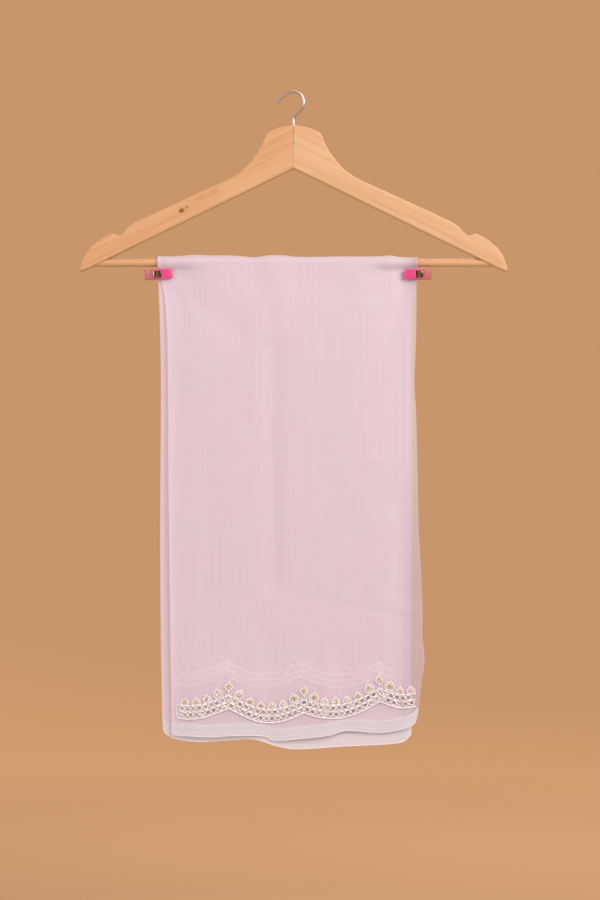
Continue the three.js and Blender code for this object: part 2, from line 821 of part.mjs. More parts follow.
function springGeometry() {
  const { springFrom, springTo, springThickness, outerY, springHeight } = CLIP;
  const [low, high] = [outerY + GAP, outerY + GAP + springThickness];
  const inside = springFrom + springThickness;
  const band = [
    [springTo, high],
    [springFrom + 0.5, high],
    [springFrom, high - 0.5],
    [springFrom, 0.5 - high],
    [springFrom + 0.5, -high],
    [springTo, -high],
    [springTo, -low],
    [inside, -low],
    [inside, low],
    [springTo, low],
  ];
  return raise(band.reverse(), springHeight, 0);
}

function makeClip({ name, tailX, towards, tilt }) {
  const plastic = { color: COLOURS.jaw, roughness: 0.35, metalness: 0 };
  const steel = { color: COLOURS.steel, roughness: 0.2, metalness: 1 };
  const clip = new THREE.Group();
  clip.position.set(tailX, 0, CLIP.z);
  clip.rotation.set(0, towards > 0 ? -tilt : Math.PI + tilt, 0);
  clip.add(add(`${name}_front_jaw`, jawGeometry(-1), plastic));
  clip.add(add(`${name}_back_jaw`, jawGeometry(1), plastic));
  clip.add(add(`${name}_spring`, springGeometry(), steel));
  group.add(clip);
}

makeHanger();
makeCloth();
makeClip(LEFT_CLIP);
makeClip(RIGHT_CLIP);

export default group;
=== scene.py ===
# %% [markdown]
# An organza saree, folded and hung over a wooden hanger
#
# The real thing is one long sheer cloth. It is folded into a narrow stack, hung over the bar of
# a flat hanger and pinched under the bar by two small sewing clips. Its two long edges carry a
# scalloped border of sequins and thread, so a border hangs at the bottom of each side.
# The frame gives the true size and place of every piece. This script dresses each piece with
# the surface that the eye sees: sheer sheets, twisted thread, cupped sequins, grained wood.

# %% Load the frame
import itertools
import math
import random
from collections import namedtuple

import bmesh
import bpy
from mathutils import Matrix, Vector


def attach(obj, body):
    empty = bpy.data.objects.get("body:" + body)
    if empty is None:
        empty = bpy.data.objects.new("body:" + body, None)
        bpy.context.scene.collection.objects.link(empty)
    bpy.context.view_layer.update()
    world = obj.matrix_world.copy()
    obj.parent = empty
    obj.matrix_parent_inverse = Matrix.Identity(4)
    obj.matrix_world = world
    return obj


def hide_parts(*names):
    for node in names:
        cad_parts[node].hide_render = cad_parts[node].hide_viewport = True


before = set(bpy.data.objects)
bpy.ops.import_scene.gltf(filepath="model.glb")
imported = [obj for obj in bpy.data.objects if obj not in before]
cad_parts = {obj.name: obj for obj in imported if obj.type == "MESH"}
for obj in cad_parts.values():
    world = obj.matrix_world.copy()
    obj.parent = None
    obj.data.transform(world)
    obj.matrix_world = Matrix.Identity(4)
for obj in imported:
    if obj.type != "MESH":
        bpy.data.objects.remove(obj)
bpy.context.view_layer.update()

print("frame nodes:", len(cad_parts))


# %% [markdown]
# Sizes below are in millimetres, because the cloth and the beads are thought of that way.
# Blender works in metres, so every point is scaled once, where a mesh is made.
# Three small helpers carry most of the shaping: mix goes from one value to another, smooth eases
# a change in and out, and a curve through a few rows gives an edge that never shows a corner.

# %% Measures and helpers
MM = 0.001
Change = namedtuple("Change", "start over")


def mix(a, b, share):
    return a + (b - a) * share


def clamp(value, low=0.0, high=1.0):
    return min(max(value, low), high)


def smooth(value):
    t = clamp(value)
    return t * t * (3 - 2 * t)


def done(change, at):
    """The share of a change that is done at a distance."""
    return smooth((at - change.start) / change.over)


def curve_through(rows):
    """A smooth curve through (at, value) rows, level beyond both ends."""
    rows = sorted(rows)
    last = len(rows) - 1
    slopes = []
    for k in range(last + 1):
        low, high = rows[max(k - 1, 0)], rows[min(k + 1, last)]
        slopes.append((high[1] - low[1]) / (high[0] - low[0]))

    def value(at):
        if at <= rows[0][0]:
            return rows[0][1]
        if at >= rows[last][0]:
            return rows[last][1]
        k = max(i for i in range(last) if rows[i][0] <= at)
        span = rows[k + 1][0] - rows[k][0]
        t = (at - rows[k][0]) / span
        eased = smooth(t)
        lean = span * ((t - 2 * t * t + t ** 3) * slopes[k] + (t ** 3 - t * t) * slopes[k + 1])
        return mix(rows[k][1], rows[k + 1][1], eased) + lean

    return value


# %% [markdown]
# A long, level lens looks straight at the cloth, as someone does who stands a few steps away.
# The stage could be a flat floor and a wall, but the piece is looked at from every side. So the
# stage is one pale bowl, floor and wall in one, made by turning a profile round the object.
# It lets the sky's light through, which keeps the light soft without a roomful of lamps. Its
# paint is deeper close to the object and paler further out.

# %% Camera
EYE_DISTANCE = 2.4
VIEW_HEIGHT = 0.93357
VIEW_CENTRE = (0.0067, -0.008, -0.3712)
SENSOR = 36.0

lens = bpy.data.cameras.new("camera")
lens.sensor_fit = "VERTICAL"
lens.sensor_height = SENSOR
lens.lens = SENSOR * EYE_DISTANCE / VIEW_HEIGHT
camera = bpy.data.objects.new("camera", lens)
camera.location = (VIEW_CENTRE[0], VIEW_CENTRE[1] - EYE_DISTANCE, VIEW_CENTRE[2])
camera.rotation_euler = (math.radians(90), 0, 0)
bpy.context.scene.collection.objects.link(camera)
bpy.context.scene.camera = camera
bpy.context.scene.view_settings.view_transform = "Standard"
print("lens", round(lens.lens, 1), "mm")


# %% [markdown]
# Every finish below is a small tree of nodes: noise that is stretched along the grain, the weave or
# the drawing of a wire, turned into tones by a colour ramp. Image textures could do the same,
# but noise is sharp at any distance, needs no unwrapping, and stays with the piece when it moves.

# %% Finishes are small node trees
def new_finish(name, settings):
    material = bpy.data.materials.new(name)
    material.use_nodes = True
    shader = material.node_tree.nodes["Principled BSDF"]
    for socket, value in settings.items():
        shader.inputs[socket].default_value = value
    return material


def node(material, kind, settings=None, inputs=None):
    """Adds a node. An input is a value, or the output of another node to link."""
    made = material.node_tree.nodes.new(kind)
    for name, value in (settings or {}).items():
        setattr(made, name, value)
    for name, value in (inputs or {}).items():
        if isinstance(value, bpy.types.NodeSocket):
            material.node_tree.links.new(value, made.inputs[name])
        else:
            made.inputs[name].default_value = value
    return made


def feed(material, socket, output):
    shader = material.node_tree.nodes["Principled BSDF"]
    material.node_tree.links.new(output, shader.inputs[socket])


def placed_from(material, centre, turn, sizes):
    """Object coordinates as seen from a centre, along turned axes, counted in the stated sizes."""
    place = node(material, "ShaderNodeTexCoord")
    moved = node(
        material,
        "ShaderNodeMapping",
        {"vector_type": "TEXTURE"},
        {"Vector": place.outputs["Object"], "Location": centre, "Rotation": turn, "Scale": sizes},
    )
    return moved.outputs["Vector"]


def noise(material, scale, detail=2.0, turn=(0, 0, 0)):
    """Noise with the stated count of patches a metre along each of its axes."""
    where = placed_from(material, (0, 0, 0), turn, [1 / count for count in scale])
    made = node(
        material,
        "ShaderNodeTexNoise",
        None,
        {"Vector": where, "Scale": 1.0, "Detail": detail, "Roughness": 0.55},
    )
    return made.outputs["Fac"]


def ramp(material, value, stops):
    """Turns a value into a colour through (position, colour) stops."""
    made = node(material, "ShaderNodeValToRGB", None, {"Fac": value})
    elements = made.color_ramp.elements
    for k, (position, colour) in enumerate(stops):
        element = elements[k] if k < 2 else elements.new(position)
        element.position = position
        element.color = (*colour, 1)
    return made.outputs["Color"]


def blend_colours(material, share, first, second, how="MIX"):
    made = node(material, "ShaderNodeMix", {"data_type": "RGBA", "blend_type": how})
    links = material.node_tree.links
    slots = {"share": made.inputs[0], "first": made.inputs[6], "second": made.inputs[7]}
    for name, value in (("share", share), ("first", first), ("second", second)):
        if isinstance(value, bpy.types.NodeSocket):
            links.new(value, slots[name])
        else:
            slots[name].default_value = value if name == "share" else (*value, 1)
    return made.outputs[2]


def span(material, value, low, high, starts=0.0, ends=1.0):
    made = node(
        material,
        "ShaderNodeMapRange",
        None,
        {"Value": value, "From Min": starts, "From Max": ends, "To Min": low, "To Max": high},
    )
    return made.outputs["Result"]


def bump(material, height, strength, distance, under=None):
    inputs = {"Height": height, "Strength": strength, "Distance": distance}
    if under is not None:
        inputs["Normal"] = under
    made = node(material, "ShaderNodeBump", None, inputs)
    feed(material, "Normal", made.outputs["Normal"])
    return made.outputs["Normal"]


# %% [markdown]
# The light is soft and comes from nearly everywhere: a pale sky, a large box in front on the
# right, a weaker one on the left, and one behind, so that sheer cloth is also lit through.
# One strong lamp would be simpler, but it draws hard folds, which ironed organza doesn't have.

# %% Stage and light
FLOOR_Z = -1.25
FLOOR_RADIUS = 3.4
WALL_RADIUS = 4.8
WALL_TOP = 3.2
FLOOR_RINGS, FLOOR_RING_GAP = 4, 0.8
CORNER_STEPS = 12
BOWL_STEPS = 96
SAND = (0.805, 0.43, 0.209)
SAND_NEAR = (0.545, 0.294, 0.149)
SAND_BLENDS_FROM, SAND_BLENDS_TO = 2.2, 3.75
DAYLIGHT = (1.0, 0.99, 0.98)
SKY_COLOUR, SKY_STRENGTH = (1.0, 0.985, 0.98), 0.552


def bowl_profile():
    """Floor, quarter round and wall, as (radius, height) rows."""
    corner = WALL_RADIUS - FLOOR_RADIUS
    rows = [(FLOOR_RING_GAP * k, FLOOR_Z) for k in range(1, FLOOR_RINGS + 1)]
    for k in range(CORNER_STEPS + 1):
        angle = math.radians(90) * k / CORNER_STEPS
        radius = FLOOR_RADIUS + corner * math.sin(angle)
        rows.append((radius, FLOOR_Z + corner * (1 - math.cos(angle))))
    rows.append((WALL_RADIUS, WALL_TOP))
    return rows


def make_bowl():
    mesh = bmesh.new()
    middle = mesh.verts.new((0, 0, FLOOR_Z))
    rings = []
    for radius, height in bowl_profile():
        ring = []
        for k in range(BOWL_STEPS):
            angle = 2 * math.pi * k / BOWL_STEPS
            spot = (radius * math.cos(angle), radius * math.sin(angle), height)
            ring.append(mesh.verts.new(spot))
        rings.append(ring)
    for k in range(BOWL_STEPS):
        nxt = (k + 1) % BOWL_STEPS
        mesh.faces.new((middle, rings[0][k], rings[0][nxt]))
        for inner, outer in zip(rings, rings[1:]):
            mesh.faces.new((inner[k], outer[k], outer[nxt], inner[nxt]))
    data = bpy.data.meshes.new("stage_bowl")
    mesh.to_mesh(data)
    mesh.free()
    data.shade_smooth()
    bowl = bpy.data.objects.new("stage_bowl", data)
    bpy.context.scene.collection.objects.link(bowl)
    bowl.visible_shadow = False
    bowl.visible_diffuse = False
    paint = new_finish("stage_paint", {"Roughness": 0.95, "Specular IOR Level": 0.1})
    place = node(paint, "ShaderNodeTexCoord").outputs["Object"]
    flat = node(
        paint, "ShaderNodeVectorMath", {"operation": "MULTIPLY"}, {0: place, 1: (1, 1, 0)}
    )
    away = node(paint, "ShaderNodeVectorMath", {"operation": "LENGTH"}, {0: flat.outputs[0]})
    share = span(paint, away.outputs["Value"], 0.0, 1.0, SAND_BLENDS_FROM, SAND_BLENDS_TO)
    feed(paint, "Base Color", blend_colours(paint, share, SAND_NEAR, SAND))
    data.materials.append(paint)


def make_lamp(name, place, size, power, colour):
    """A square soft box that faces the middle of the cloth."""
    data = bpy.data.lights.new(name, "AREA")
    data.size = size
    data.energy = power
    data.color = colour
    lamp = bpy.data.objects.new(name, data)
    lamp.location = place
    aim = Vector(VIEW_CENTRE) - Vector(place)
    lamp.rotation_euler = aim.to_track_quat("-Z", "Y").to_euler()
    bpy.context.scene.collection.objects.link(lamp)


make_bowl()
make_lamp("key_box", (2.05, -2.1, 1.15), 1.7, 82, DAYLIGHT)
make_lamp("side_box", (-2.2, -1.8, 0.3), 1.8, 25, SKY_COLOUR)
make_lamp("back_box", (0.6, 2.6, 1.3), 1.6, 44, DAYLIGHT)

world = bpy.data.worlds.new("sky")
world.use_nodes = True
sky = world.node_tree.nodes["Background"]
sky.inputs["Color"].default_value = (*SKY_COLOUR, 1)
sky.inputs["Strength"].default_value = SKY_STRENGTH
bpy.context.scene.world = world
print("stage and three soft boxes are up")


# %% [markdown]
# Everything in the cloth follows one surface: up the front, over the bar and down the back.
# A cloth simulation could drape it, but a folded and ironed stack hardly moves, and the sheets
# would drift into each other. So the surface is a formula. Far from the clips the front and the
# back ease towards each other. Under a clip they go round the bar, straight in, and meet.
# Each layer is that surface moved out by its own offset, so no two layers ever cross.

# %% The surface that every layer follows
BAR_RADIUS = 4.2
BAR_Z = -176.4
FOLD_RADIUS = BAR_RADIUS + 0.4
PINCH_ANGLE = math.pi / 4
PINCH_RADIUS = 5
HALF_SLIT = 0.15
LOWER_SLIT = 0.6
SLIT_CLOSES_OVER = 70
PINCH_OPENS = Change(20, 130)
LEFT_PINCH = (-124, -80)
RIGHT_PINCH = (112, 68)
Wave = namedtuple("Wave", "height length peak start over")
BASE_WAVE = Wave(1.4, 240, -70, 330, 150)
HEM_WAVE = Wave(1.2, 112, -82, 350, 130)
Station = namedtuple("Station", "side d angle", defaults=(None,))


def pinch_share(x):
    left = smooth((LEFT_PINCH[1] - x) / (LEFT_PINCH[1] - LEFT_PINCH[0]))
    right = smooth((x - RIGHT_PINCH[1]) / (RIGHT_PINCH[0] - RIGHT_PINCH[1]))
    return max(left, right)


def free_half_space(d):
    return LOWER_SLIT + (FOLD_RADIUS - LOWER_SLIT) * math.exp(-((d / SLIT_CLOSES_OVER) ** 2))


def pinched_half_space(d):
    leave = FOLD_RADIUS * math.sin(PINCH_ANGLE)
    arc_rise = PINCH_RADIUS * math.sin(PINCH_ANGLE)
    straight = leave - PINCH_RADIUS * (1 - math.cos(PINCH_ANGLE)) - HALF_SLIT
    closed = leave + straight + arc_rise
    if d < leave:
        return math.sqrt(FOLD_RADIUS ** 2 - d ** 2)
    if d < leave + straight:
        return 2 * leave - d
    if d < closed:
        return HALF_SLIT + PINCH_RADIUS - math.sqrt(PINCH_RADIUS ** 2 - (closed - d) ** 2)
    return mix(HALF_SLIT, free_half_space(d), done(PINCH_OPENS, d))


def swing(wave, x, d, side):
    phase = 2 * math.pi * (x + wave.peak * side) / wave.length
    return done(Change(wave.start, wave.over), d) * wave.height * (1 + math.cos(phase))


def half_space(x, d, side):
    pinched = mix(free_half_space(d), pinched_half_space(d), pinch_share(x))
    return pinched + swing(BASE_WAVE, x, d, side)


def stack_point(x, station, offset):
    """The place of a point of the stack, in millimetres. Side is -1 in front and 1 behind."""
    if station.angle is not None:
        radius = FOLD_RADIUS + offset
        y = -radius * math.cos(station.angle)
        return (x, y, BAR_Z + radius * math.sin(station.angle))
    side, d = station.side, station.d
    step = 0.05
    middle = half_space(x, d, side)
    slope = 0.0
    if d > 0:
        above = half_space(x, max(0.0, d - step), side)
        slope = (half_space(x, d + step, side) - above) / (2 * step)
    length = math.hypot(1, slope)
    return (x, side * (middle + offset / length), BAR_Z - d + offset * slope / length)


print("cloth closes to", round(2 * half_space(0, 300, -1), 1), "mm at its middle")


# %% [markdown]
# The offsets come next: how thick the hidden folds are, and how far out the second sheet and the
# outer sheet lie. The outer sheet has the cloth's creases. Each crease is a soft trough or ridge
# along a short line, placed one by one: the long fold down the middle, the fans that the clips pull
# and the faint marks where the cloth was folded across. The back has a list of its own.

# %% Offsets of the layers
GAP = 0.3
WALL = 1.0
SLACK = 0.25
SLACK_GROWS = Change(30, 60)
CORE_AT_BAR, CORE_BODY, CORE_EDGE = 1.0, 3.6, 2.1
CORE_SIDE_WIDTH, CORE_BAND_WIDTH = 26, 14
CORE_FILLS = Change(18, 100)
CORE_THINS, CORE_THINNED = Change(400, 80), 0.55
CORE_LEFT_X, CORE_RIGHT_X = -125.6, 116.7
FOLD_HEIGHT = 2.2
FOLDS_RISE, FOLDS_SINK, FOLDS_SUNK = Change(10, 70), Change(380, 100), 0.7
LEAST_RELIEF = -0.6
SECOND_SHARE = 0.6

# Where the cloth lies closer on the bar: x, and the share of its full thickness there
BAR_EASE = curve_through([
    (-141, 0.62), (-132, 0.48), (-118, 0.64), (-107, 0.97), (-99, 1.0), (-88, 0.84), (-66, 0.80),
    (-52, 0.46), (-41, 0.18), (-33, 0.52), (-24, 0.90), (-8, 0.76), (1, 0.36), (17, 0.28),
    (34, 0.38), (50, 0.45), (84, 0.45), (92, 0.56), (100, 0.83), (108, 0.35), (117, 0.16),
    (126, 0.18),
])
BAR_EASE_ENDS = Change(4, 46)


# %% Creases
Crease = namedtuple("Crease", "x0 d0 x1 d1 width height")
BROAD_TROUGHS = [
    Crease(-22, 90, -22, 330, 11, 2.0),
    Crease(-124, 12, -56, 74, 13, 1.5),
    Crease(104, 10, 40, 34, 13, 1.4),
    Crease(100, 60, 96, 250, 15, 0.9),
    Crease(-96, 150, -88, 400, 16, 0.9),
    Crease(-22, 395, -26, 492, 10, 1.4),
    Crease(48, 400, 54, 492, 12, 1.4),
]
FRONT_CREASES = [
    Crease(-9, -6, -13, 84, 8, 0.8),
    Crease(-36, 44, -37, 215, 9, 0.6),
    Crease(-23, 150, -18, 352, 5, -0.75),
    Crease(-7, 205, -3, 330, 7, 0.35),
    Crease(-126, 10, -90, 24, 4, -0.9),
    Crease(-124, 14, -98, 64, 6, 0.8),
    Crease(-120, 20, -112, 104, 7, -0.5),
    Crease(-62, 16, -28, 52, 14, 0.5),
    Crease(-84, 40, -58, 118, 9, -0.4),
    Crease(111, 8, 66, 16, 5, -0.9),
    Crease(111, 14, 84, 62, 6, 0.8),
    Crease(108, 28, 104, 118, 8, -0.5),
    Crease(30, 22, 58, 96, 12, 0.45),
    Crease(-118, 206, 12, 196, 3.5, -0.35),
    Crease(2, 216, 121, 202, 3.5, 0.32),
    Crease(-112, 336, 52, 347, 4, -0.34),
    Crease(34, 352, 130, 369, 4, -0.6),
    Crease(98, 361, 134, 364, 3, 0.6),
    Crease(60, 118, 66, 300, 12, 0.45),
    Crease(-72, 228, -60, 425, 12, 0.4),
    Crease(22, 385, 16, 488, 8, -0.5),
    Crease(112, 442, 122, 478, 3.5, 0.9),
    Crease(102, 456, 127, 463, 2.6, -0.8),
    Crease(84, 300, 92, 440, 9, 0.4),
]
BACK_CREASES = [
    Crease(14, -4, 20, 150, 9, 0.7),
    Crease(-8, 60, -2, 240, 8, -0.6),
    Crease(34, 190, 28, 388, 7, 0.45),
    Crease(-126, 10, -84, 20, 5, -0.9),
    Crease(-124, 16, -94, 76, 7, 0.8),
    Crease(112, 9, 74, 22, 5, -0.9),
    Crease(110, 16, 90, 70, 6, 0.7),
    Crease(-110, 198, 40, 205, 3.5, -0.35),
    Crease(20, 214, 118, 208, 4, 0.3),
    Crease(-104, 343, 84, 338, 4, -0.36),
    Crease(-74, 110, -82, 300, 12, 0.5),
    Crease(70, 240, 78, 452, 12, -0.45),
    Crease(-46, 372, -40, 476, 8, 0.5),
    Crease(-118, 420, -104, 470, 6, 0.5),
]
BILLOW = {"x": 132, "d": 412, "wide": 22, "tall": 62, "height": 3.2}
CREASE_ENDS = 0.34
CREASE_REACH = 2.6
print("creases placed by hand:", len(FRONT_CREASES) + len(BACK_CREASES))


# %% Offset of each layer
def bar_ease(x, d):
    return mix(BAR_EASE(x), 1.0, done(BAR_EASE_ENDS, d))


def core_thickness(x, d):
    inside = min(x - CORE_LEFT_X, CORE_RIGHT_X - x)
    full = mix(CORE_EDGE, CORE_BODY, smooth(inside / CORE_SIDE_WIDTH))
    here = mix(CORE_AT_BAR, full, smooth(1 + inside / CORE_BAND_WIDTH))
    lower = mix(1, CORE_THINNED, done(CORE_THINS, d))
    return mix(CORE_AT_BAR, here * lower, done(CORE_FILLS, d)) * bar_ease(x, d)


def crease_rise(x, d, crease, fades):
    along_x, along_d = crease.x1 - crease.x0, crease.d1 - crease.d0
    from_x, from_d = x - crease.x0, d - crease.d0
    t = clamp((from_x * along_x + from_d * along_d) / (along_x ** 2 + along_d ** 2))
    away = math.hypot(from_x - t * along_x, from_d - t * along_d) / crease.width
    if away > CREASE_REACH:
        return 0.0
    fade = smooth(min(t, 1 - t) / CREASE_ENDS) if fades else 1.0
    return crease.height * fade * math.exp(-away * away)


def outer_relief(x, d, side):
    sunk = mix(1, FOLDS_SUNK, done(FOLDS_SINK, d))
    height = FOLD_HEIGHT * done(FOLDS_RISE, d) * sunk
    for trough in BROAD_TROUGHS:
        height -= crease_rise(-x * side, d, trough, False)
    height = max(0.0, height)
    for crease in FRONT_CREASES if side < 0 else BACK_CREASES:
        height += crease_rise(x, d, crease, True)
    height += swing(HEM_WAVE, x, d, side)
    if side < 0:
        across = ((x - BILLOW["x"]) / BILLOW["wide"]) ** 2
        down = ((d - BILLOW["d"]) / BILLOW["tall"]) ** 2
        height += BILLOW["height"] * math.exp(-across - down)
    return max(LEAST_RELIEF, height)


def second_offset(x, d, side):
    inside = core_thickness(x, d) + GAP + SLACK * done(SLACK_GROWS, d)
    return inside + WALL * SECOND_SHARE * bar_ease(x, d)


def outer_offset(x, d, side):
    inside = core_thickness(x, d) + 2 * GAP + SLACK * done(SLACK_GROWS, d)
    return inside + (2 * WALL) * bar_ease(x, d) + outer_relief(x, d, side)


print("outer sheet lies", round(outer_offset(0, 300, -1), 2), "mm out at its middle")


# %% [markdown]
# Organza is a crisp plain weave of very fine, hard-twisted thread. Three things make it look
# real: it is sheer, so what lies behind tints it; its threads are uneven, which shows as faint
# streaks down the cloth; and it has a soft silvery sheen where it turns away from the light.
# The sheerness could come from a glass shader, but plain alpha is closer to open weave, and it
# stays right in other programs. The weave is a bump at its true size, too fine to flicker.

# %% Organza finishes
WEAVE_PITCH = 0.42 * MM
WAVE_UNIT = math.pi / 10
COVER_VARIES = 0.012
# Right of the stack the cloth is a single layer, with nothing behind it that sends light back,
# so a painted shade darkens it there
FREE_EDGE = (112, 124)
FREE_EDGE_SHADE = (0.84, 0.84, 0.85)
FREE_EDGE_THINS = 0.1
# Painted shade where the right side of the stack falls away from the light: x and z from start to
# full
SideShade = namedtuple("SideShade", "x0 x1 z0 z1 tone")
RIGHT_SHADE = SideShade(106, 122, -370, -500, (0.87, 0.85, 0.90))


def organza(name, pink, grey, alpha, sheen=0.22, free_edge=None, shade=None):
    cloth = new_finish(name, {
        "Roughness": 0.55,
        "Specular IOR Level": 0.32,
        "Sheen Weight": sheen,
        "Sheen Roughness": 0.35,
        "Sheen Tint": (1.0, 0.95, 0.96, 1),
    })
    patches = noise(cloth, (11, 11, 8), 3.0)
    tone = ramp(cloth, patches, [(0.36, grey), (0.62, pink)])
    slubs = noise(cloth, (520, 90, 9), 2.0)
    streaks = ramp(cloth, slubs, [(0.3, (0.992, 0.99, 0.991)), (0.7, (1, 1, 1))])
    weft = noise(cloth, (14, 14, 480), 1.0)
    bars = ramp(cloth, weft, [(0.3, (0.99, 0.988, 0.99)), (0.7, (1, 1, 1))])
    crossed = blend_colours(cloth, 1.0, streaks, bars, "MULTIPLY")
    tone = blend_colours(cloth, 1.0, tone, crossed, "MULTIPLY")
    cover = span(cloth, slubs, alpha - COVER_VARIES, alpha + COVER_VARIES, 0.25, 0.75)
    place = node(cloth, "ShaderNodeTexCoord").outputs["Object"]
    parted = node(cloth, "ShaderNodeSeparateXYZ", None, {0: place})
    across, height = parted.outputs["X"], parted.outputs["Z"]
    # Painted shade: a darker tone where the side of the stack falls away from the light
    if shade:
        aside = span(cloth, across, 0.0, 1.0, shade.x0 * MM, shade.x1 * MM)
        below = span(cloth, height, 0.0, 1.0, shade.z0 * MM, shade.z1 * MM)
        both = node(cloth, "ShaderNodeMath", {"operation": "MULTIPLY"}, {0: aside, 1: below})
        tone = blend_colours(cloth, both.outputs[0], tone, shade.tone, "MULTIPLY")
    # Painted shade on the single layer right of the stack, where the cloth is also a little thinner
    if free_edge:
        free = span(cloth, across, 0.0, 1.0, free_edge[0] * MM, free_edge[1] * MM)
        tone = blend_colours(cloth, free, tone, FREE_EDGE_SHADE, "MULTIPLY")
        thinner = span(cloth, free, 0.0, FREE_EDGE_THINS)
        less = node(cloth, "ShaderNodeMath", {"operation": "SUBTRACT"}, {0: cover, 1: thinner})
        cover = less.outputs[0]
    feed(cloth, "Base Color", tone)
    feed(cloth, "Roughness", span(cloth, slubs, 0.5, 0.6))
    if alpha < 1:
        feed(cloth, "Alpha", cover)
    threads = []
    for direction in ("X", "Z"):
        wave = node(
            cloth,
            "ShaderNodeTexWave",
            {"bands_direction": direction},
            {"Vector": place, "Scale": WAVE_UNIT / WEAVE_PITCH, "Distortion": 0.6, "Detail": 1.0},
        )
        threads.append(wave.outputs["Fac"])
    crossing = {0: threads[0], 1: threads[1]}
    weave = node(cloth, "ShaderNodeMath", {"operation": "MULTIPLY"}, crossing)
    fine = bump(cloth, weave.outputs[0], 0.25, 0.05 * MM)
    bump(cloth, slubs, 0.1, 0.1 * MM, fine)
    return cloth


PINK = (0.86, 0.66, 0.715)
GREY = (0.83, 0.67, 0.705)
sheer = organza("organza_sheer", PINK, GREY, 0.62, 0.22, FREE_EDGE, RIGHT_SHADE)
sheer_second = organza("organza_second_layer", (0.86, 0.65, 0.71), (0.83, 0.66, 0.70), 0.57)
stacked = organza("organza_stacked", (0.86, 0.68, 0.73), (0.84, 0.69, 0.72), 1.0, 0.12)
hem_cloth = organza("organza_hem", (0.835, 0.725, 0.75), (0.815, 0.73, 0.745), 0.62)
print("organza weave", round(WEAVE_PITCH / MM, 2), "mm")


# %% [markdown]
# A sheet is a grid of points on its layer. Its rows run from the front hem over the bar to the
# back hem and its columns run across. Cloth never ends in a bare line: the hem is folded under,
# and one side edge is the turn where the cloth goes back into the stack. The grid goes on round
# those edges with a small round turn, so the doubled strips are really two layers of cloth.

# %% Outlines of the sheets
SECOND_LEFT = curve_through([
    (-170, -142.6), (-197, -140.7), (-257, -138.6), (-320, -138.0), (-444, -138.8),
    (-527, -138.5), (-610, -137.4), (-653, -136.4),
])
SECOND_RIGHT = curve_through([(-176, 124.5), (-216, 122.5)])
OUTER_LEFT = curve_through([
    (-176, -140.8), (-195, -137.5), (-216, -133.4), (-260, -130.8), (-420, -129.6), (-560, -127.8),
    (-640, -126.6),
])
OUTER_RIGHT = curve_through([
    (-174, 129.4), (-200, 127.9), (-226, 127.7), (-252, 127.2), (-278, 126.4), (-304, 125.5),
    (-330, 127.2), (-381, 128.4), (-433, 129.5), (-459, 130.2), (-485, 131.8), (-537, 134.0),
    (-563, 133.8), (-589, 135.8), (-615, 132.4), (-641, 129.6), (-653, 127.1),
])
CORE_LEFT = curve_through([(-176, -131.5), (-216, -127.0), (-260, CORE_LEFT_X)])
CORE_RIGHT = curve_through([(-176, 121.0), (-216, 118.0), (-260, CORE_RIGHT_X)])
OUTER_HEM = curve_through([
    (-126.6, -667.0), (-86.6, -668.9), (-60.7, -667.5), (-30.0, -668.6), (-20.0, -672.8),
    (6.7, -671.0), (37.9, -667.3), (53.4, -662.9), (89.7, -664.8), (110.5, -661.6),
    (123.0, -657.0), (127.5, -652.0),
])
SECOND_HEM = curve_through([
    (-137.0, -648.0), (-135.4, -661.0), (-132.3, -666.4), (-124.0, -671.0), (-99.1, -674.4),
    (-66.0, -672.4), (-41.0, -671.8), (-16.1, -679.3), (1.6, -682.2), (53.4, -679.3),
    (103.2, -676.5), (115.7, -673.6), (122.5, -666.0),
])
CORE_END = curve_through([(CORE_LEFT_X, -634.0), (CORE_RIGHT_X, -637.0)])
BACK_RISE = 9
BACK_INSET = 1.5
BACK_RIGHT_LIMIT = 125.5
BACK_NARROWS_OVER = 60
print("front hem lies between", OUTER_HEM(-20.0), "and", OUTER_HEM(127.5), "mm")


# %% Grid of a sheet
LEG_LENGTH, SHEET_WIDTH = 480, 256
HEM_BAND = 13.0
HEM_ROW_STEP = 1.2
HEM_TUCK = 0.8
HEM_STEP_UP = 0.25
HEM_STEP_WIDTH = 1.2
ROW_STEP = 2.6
COLUMN_STEP = 2.5
TURN_STEPS = 5
BAR_STEPS = 22

Column = namedtuple("Column", "share inset sunk")
Row = namedtuple("Row", "side share above sunk angle")
Panel = namedtuple("Panel", "left right hem offset turned turn_width turn_depth hem_depth")


def edge_at(panel, which, z, side):
    on_front = panel.left(z) if which == "left" else panel.right(z)
    if side <= 0:
        return on_front
    inward = on_front + BACK_INSET
    if which == "right":
        inward = min(on_front - BACK_INSET, BACK_RIGHT_LIMIT)
    return mix(on_front, inward, smooth((BAR_Z - z) / BACK_NARROWS_OVER))


def hem_depth_at(panel, x, side):
    return BAR_Z - panel.hem(x) - (BACK_RISE if side > 0 else 0)


def round_turn(depth, width):
    """Steps of a folded edge: how far each lies from the edge, and how deep under the face."""
    radius = depth / 2
    steps = []
    for k in range(TURN_STEPS + 1):
        angle = math.pi * k / TURN_STEPS
        steps.append((radius * (1 - math.sin(angle)), radius * (1 - math.cos(angle))))
    back = max(2, round(width / ROW_STEP))
    for k in range(1, back + 1):
        steps.append((mix(radius, width, k / back), depth))
    return steps


def sheet_columns(panel):
    count = round(SHEET_WIDTH / COLUMN_STEP)
    columns = [Column(k / count, 0.0, 0.0) for k in range(count)]
    turn = round_turn(panel.turn_depth, panel.turn_width)
    folded = [Column(1.0, inset, sunk) for inset, sunk in turn]
    if panel.turned == "right":
        return columns + folded
    mirrored = [Column(0.0, inset, sunk) for inset, sunk in reversed(turn)]
    return mirrored + [Column(1 - c.share, 0.0, 0.0) for c in reversed(columns)]


